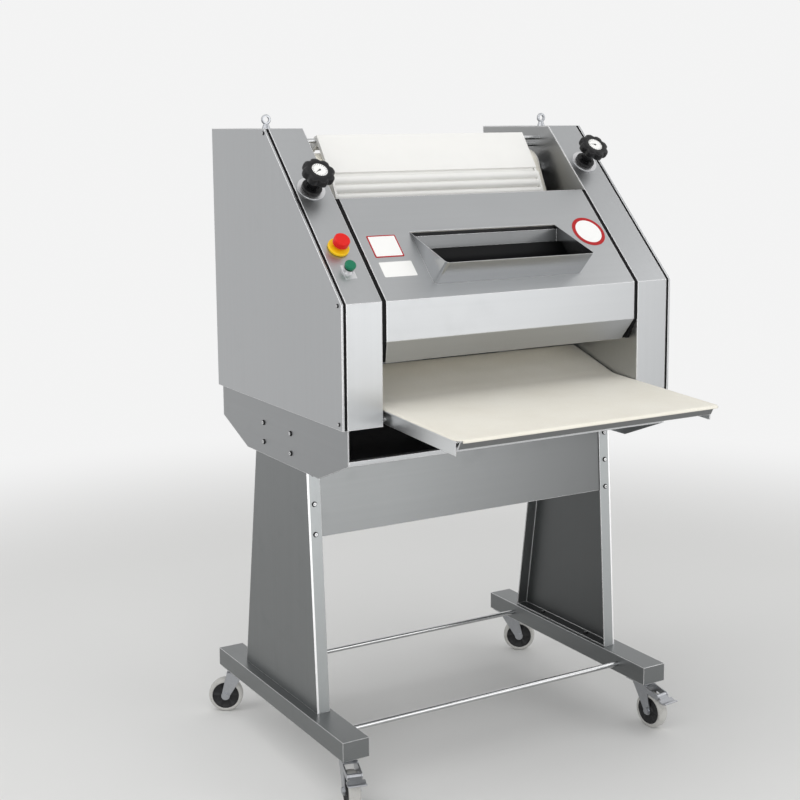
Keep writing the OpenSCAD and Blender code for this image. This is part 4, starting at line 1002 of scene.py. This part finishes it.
# Black rippled sheet that hangs behind the hopper's rear plate, down to the rollers, standing in
# for the shade in the feed slot
feedFlap = {
    "half": 300.0, "s": 209.0, "thick": 1.6, "top": 4.0, "low": 1292.0, "curl": 9.0,
    "curlFrom": 0.7, "ribs": 5, "ripple": 0.35, "down": 24, "across": 48,
}


def makeFeedSlotShade(look):
    a = math.radians(machine["slope"])
    y0, z0 = look["s"] * math.cos(a), machine["bendZ"] + look["s"] * math.sin(a) - look["top"]
    line = []
    for i in range(look["down"] + 1):
        t = i / look["down"]
        bent = max(0.0, t - look["curlFrom"]) / (1 - look["curlFrom"])
        line.append((t, y0 + look["curl"] * bent**2, z0 + (look["low"] - z0) * t))
    rings = []
    for j in range(look["across"] + 1):
        u = j / look["across"]
        x = look["half"] * (2 * u - 1)
        ripple = look["ripple"] * math.cos(2 * math.pi * look["ribs"] * u)
        front, rear = (
            [spot(x, y + side * look["thick"] / 2 - ripple * t, z) for t, y, z in line]
            for side in (-1, 1)
        )
        rings.append(front + rear[::-1])
    asPiece("feedFlap", skin(rings), "flapPlastic", "cover", smooth=False)


makeFeedSlotShade(feedFlap)
print("feed flap hung")

# Rubber patches that close the cut corners of the cover's lip from inside
cornerPatch = {
    "x": (350.0, 369.7), "top": 1144.0, "lipIn": 33.0, "lipHigh": 56.0, "behind": 3.2, "thick": 1.5,
    "bulge": 0.4, "steps": 8,
}


def makeCornerPatch(name, side, look):
    lip = Vector((look["lipIn"], -look["lipHigh"]))
    run = lip.normalized()
    inward = Vector((-run.y, run.x))
    x0, x1 = (side * x for x in look["x"])
    rings = []
    for i in range(look["steps"] + 1):
        u = i / look["steps"]
        along = Vector((0, look["top"])) + lip * u
        near, far = (along + inward * (look["behind"] + t) for t in (0, look["thick"]))
        grow = inward * look["bulge"] * math.sin(math.pi * u)
        ring = ((x0, near + grow), (x1, near), (x1, far), (x0, far + grow))
        rings.append([spot(x, *p) for x, p in ring])
    patch = asPiece(name, skin(rings), "sealRubber", "cover", smooth=False)


makeCornerPatch("leftCornerPatch", -1, cornerPatch)
makeCornerPatch("rightCornerPatch", 1, cornerPatch)
print("lip corners closed")

# Bare label plates on the cover, with heights above the sheet and the number of steps in a corner
sticker = {"low": 0.02, "side": 0.5, "top": 0.7, "sunk": 0.62, "edge": 0.3, "step": 0.2, "arc": 6}
coverLabels = [
    {
        "name": "upperLabel", "x": (-345.0, -265.0), "s": (132.0, 201.0), "corner": 3.0,
        "border": 3.4, "innerCorner": 1.2, "sunkCorner": 1.1,
    },
    {
        "name": "lowerLabel", "x": (-344.0, -254.0), "s": (71.0, 117.0), "corner": 2.5,
        "border": 0.0,
    },
]
roundLabel = {"x": 315.0, "s": 177.0, "r": 48.0, "rim": 10.0, "middle": 0.1, "steps": 96}


def roundedLoop(look, inset, corner, n):
    (x0, x1), (s0, s1) = look["x"], look["s"]
    near = inset + corner
    middles = ((x1 - near, s1 - near), (x0 + near, s1 - near))
    middles += ((x0 + near, s0 + near), (x1 - near, s0 + near))
    points = []
    for quarter, (x, s) in enumerate(middles):
        for i in range(sticker["arc"] + 1):
            a = math.radians(90 * (quarter + i / sticker["arc"]))
            points.append((x + corner * math.cos(a), s + corner * math.sin(a), n))
    return points


def makeLabel(look):
    corner, border, edge, step = look["corner"], look["border"], sticker["edge"], sticker["step"]
    loops = [roundedLoop(look, 0, corner, sticker[k]) for k in ("low", "side")]
    loops.append(roundedLoop(look, edge, corner - step, sticker["top"]))
    if border:
        loops.append(roundedLoop(look, border, look["innerCorner"], sticker["top"]))
        loops.append(roundedLoop(look, border + step, look["sunkCorner"], sticker["sunk"]))
    middle = onSlope(0, 0)
    shape = skin([[middle @ (Vector(p) / metre) for p in loop] for loop in loops])
    (x0, x1), (s0, s1) = look["x"], look["s"]
    for face in shape.faces:
        p = middle.inverted() @ face.calc_center_median() * metre
        inside = x0 + border < p.x < x1 - border and s0 + border < p.y < s1 - border
        face.material_index = 0 if inside or not border else 1
    asPiece(look["name"], shape, ["labelWhite", "labelRed"], "cover", smooth=False)


def makeRoundLabel(look):
    place = onSlope(look["x"], look["s"])
    r, inner = look["r"], look["r"] - look["rim"]
    outline = [(r, sticker["low"]), (r, sticker["side"]), (r - sticker["edge"], sticker["top"])]
    outline += [(inner, sticker["top"]), (inner - sticker["step"], sticker["sunk"])]
    outline.append((look["middle"], sticker["sunk"]))
    shape = skin([circleAt(a, h, place, look["steps"]) for a, h in outline])
    for face in shape.faces:
        face.material_index = int(farOut(face, place) > inner)
    asPiece("roundLabel", shape, ["labelWhite", "labelRed"], "cover", smooth=False)


for look in coverLabels:
    makeLabel(look)
makeRoundLabel(roundLabel)
print("labels set")

# Floor, light and background
studio = {
    "floor": (0.78, 0.78, 0.77), "floorRings": ((30000.0, -20.0), (30000.0, 0.0), (10.0, 0.0)),
    "floorSteps": 96, "air": (0.9, 0.9, 0.9), "fill": 0.7, "near": 1.9, "far": 4.0,
}
lamps = (  # name, place, aim, size and watts
    ("keyLamp", (1.55, -4.3, 1.3), (0, -0.2, 0.9), (3.3, 2.6), 44.0),
    ("frontLamp", (-2.8, -4.4, 1.4), (0, -0.2, 1.0), (3.4, 2.6), 46.0),
    ("sideLamp", (-4.6, 1.2, 2.4), (0, 0, 1.0), (2.4, 2.4), 26.0),
    ("topLamp", (-1.7, -0.6, 4.6), (0, -0.2, 0.9), (4.4, 4.4), 62.0),
    ("rightLamp", (3.3, -1.5, 3.5), (0.1, -0.2, 1.2), (2.0, 2.0), 18.0),
)


def floorPaint(look):  # a pale floor that fades into the background
    f = Finish("floorPaint", {"Specular IOR Level": 0.1})
    tone = f.noise(1.2, 4.0, 0.6)
    f.feed("Base Color", f.mix(tone, look["floor"], shade(look["floor"], 0.985)))
    f.feed("Roughness", 0.85 + tone * 0.1)
    away = f.node("ShaderNodeVectorMath", {"operation": "LENGTH"}, {0: f.place()}, out="Value")
    smooth = {"interpolation_type": "SMOOTHSTEP"}
    ends = {"Value": away, "From Min": look["near"], "From Max": look["far"]}
    fade = f.node("ShaderNodeMapRange", smooth, ends)
    glow = f.node("ShaderNodeEmission", None, {"Color": (*look["air"], 1), "Strength": 1.0})
    paint = Sum(f, f.shader.outputs[0])
    both = f.node("ShaderNodeMixShader", None, {0: fade, 1: paint, 2: glow})
    f.plug(f.tree.nodes["Material Output"].inputs["Surface"], both)
    return f.material


def makeFloor(look):
    here, steps = Matrix.Identity(4), look["floorSteps"]
    mesh = plainMesh("floor", skin([circleAt(r, h, here, steps) for r, h in look["floorRings"]]))
    mesh.materials.append(floorPaint(look))
    floor = bpy.data.objects.new("floor", mesh)
    bpy.context.collection.objects.link(floor)


def makeAir(look):  # full strength where it is seen or mirrored, weaker as fill light
    world = bpy.data.worlds.new("studioAir")
    bpy.context.scene.world = world
    world.use_nodes = True
    tree = world.node_tree
    air = tree.nodes["Background"]
    air.inputs["Color"].default_value = (*look["air"], 1)
    ray = tree.nodes.new("ShaderNodeLightPath").outputs

    def maths(kind, *values):
        made = tree.nodes.new("ShaderNodeMath")
        made.operation = kind
        for socket, value in zip(made.inputs, values):
            if isinstance(value, bpy.types.NodeSocket):
                tree.links.new(value, socket)
            else:
                socket.default_value = value
        return made.outputs[0]

    direct = maths("MAXIMUM", ray["Is Camera Ray"], ray["Is Glossy Ray"])
    direct = maths("MAXIMUM", direct, ray["Is Transmission Ray"])
    seen = maths("MULTIPLY_ADD", direct, 1 - look["fill"], look["fill"])
    tree.links.new(seen, air.inputs["Strength"])


def makeLamp(name, at, to, size, watts):
    light = bpy.data.lights.new(name, "AREA")
    light.shape = "RECTANGLE"
    light.size, light.size_y = size
    light.energy = watts
    holder = bpy.data.objects.new(name, light)
    holder.location = at
    aim = Vector(to) - Vector(at)
    holder.rotation_euler = aim.to_track_quat("-Z", "Y").to_euler()
    bpy.context.collection.objects.link(holder)


makeFloor(studio)
makeAir(studio)
for lamp in lamps:
    makeLamp(*lamp)
bpy.context.scene.view_settings.view_transform = "Standard"
print("studio lit")
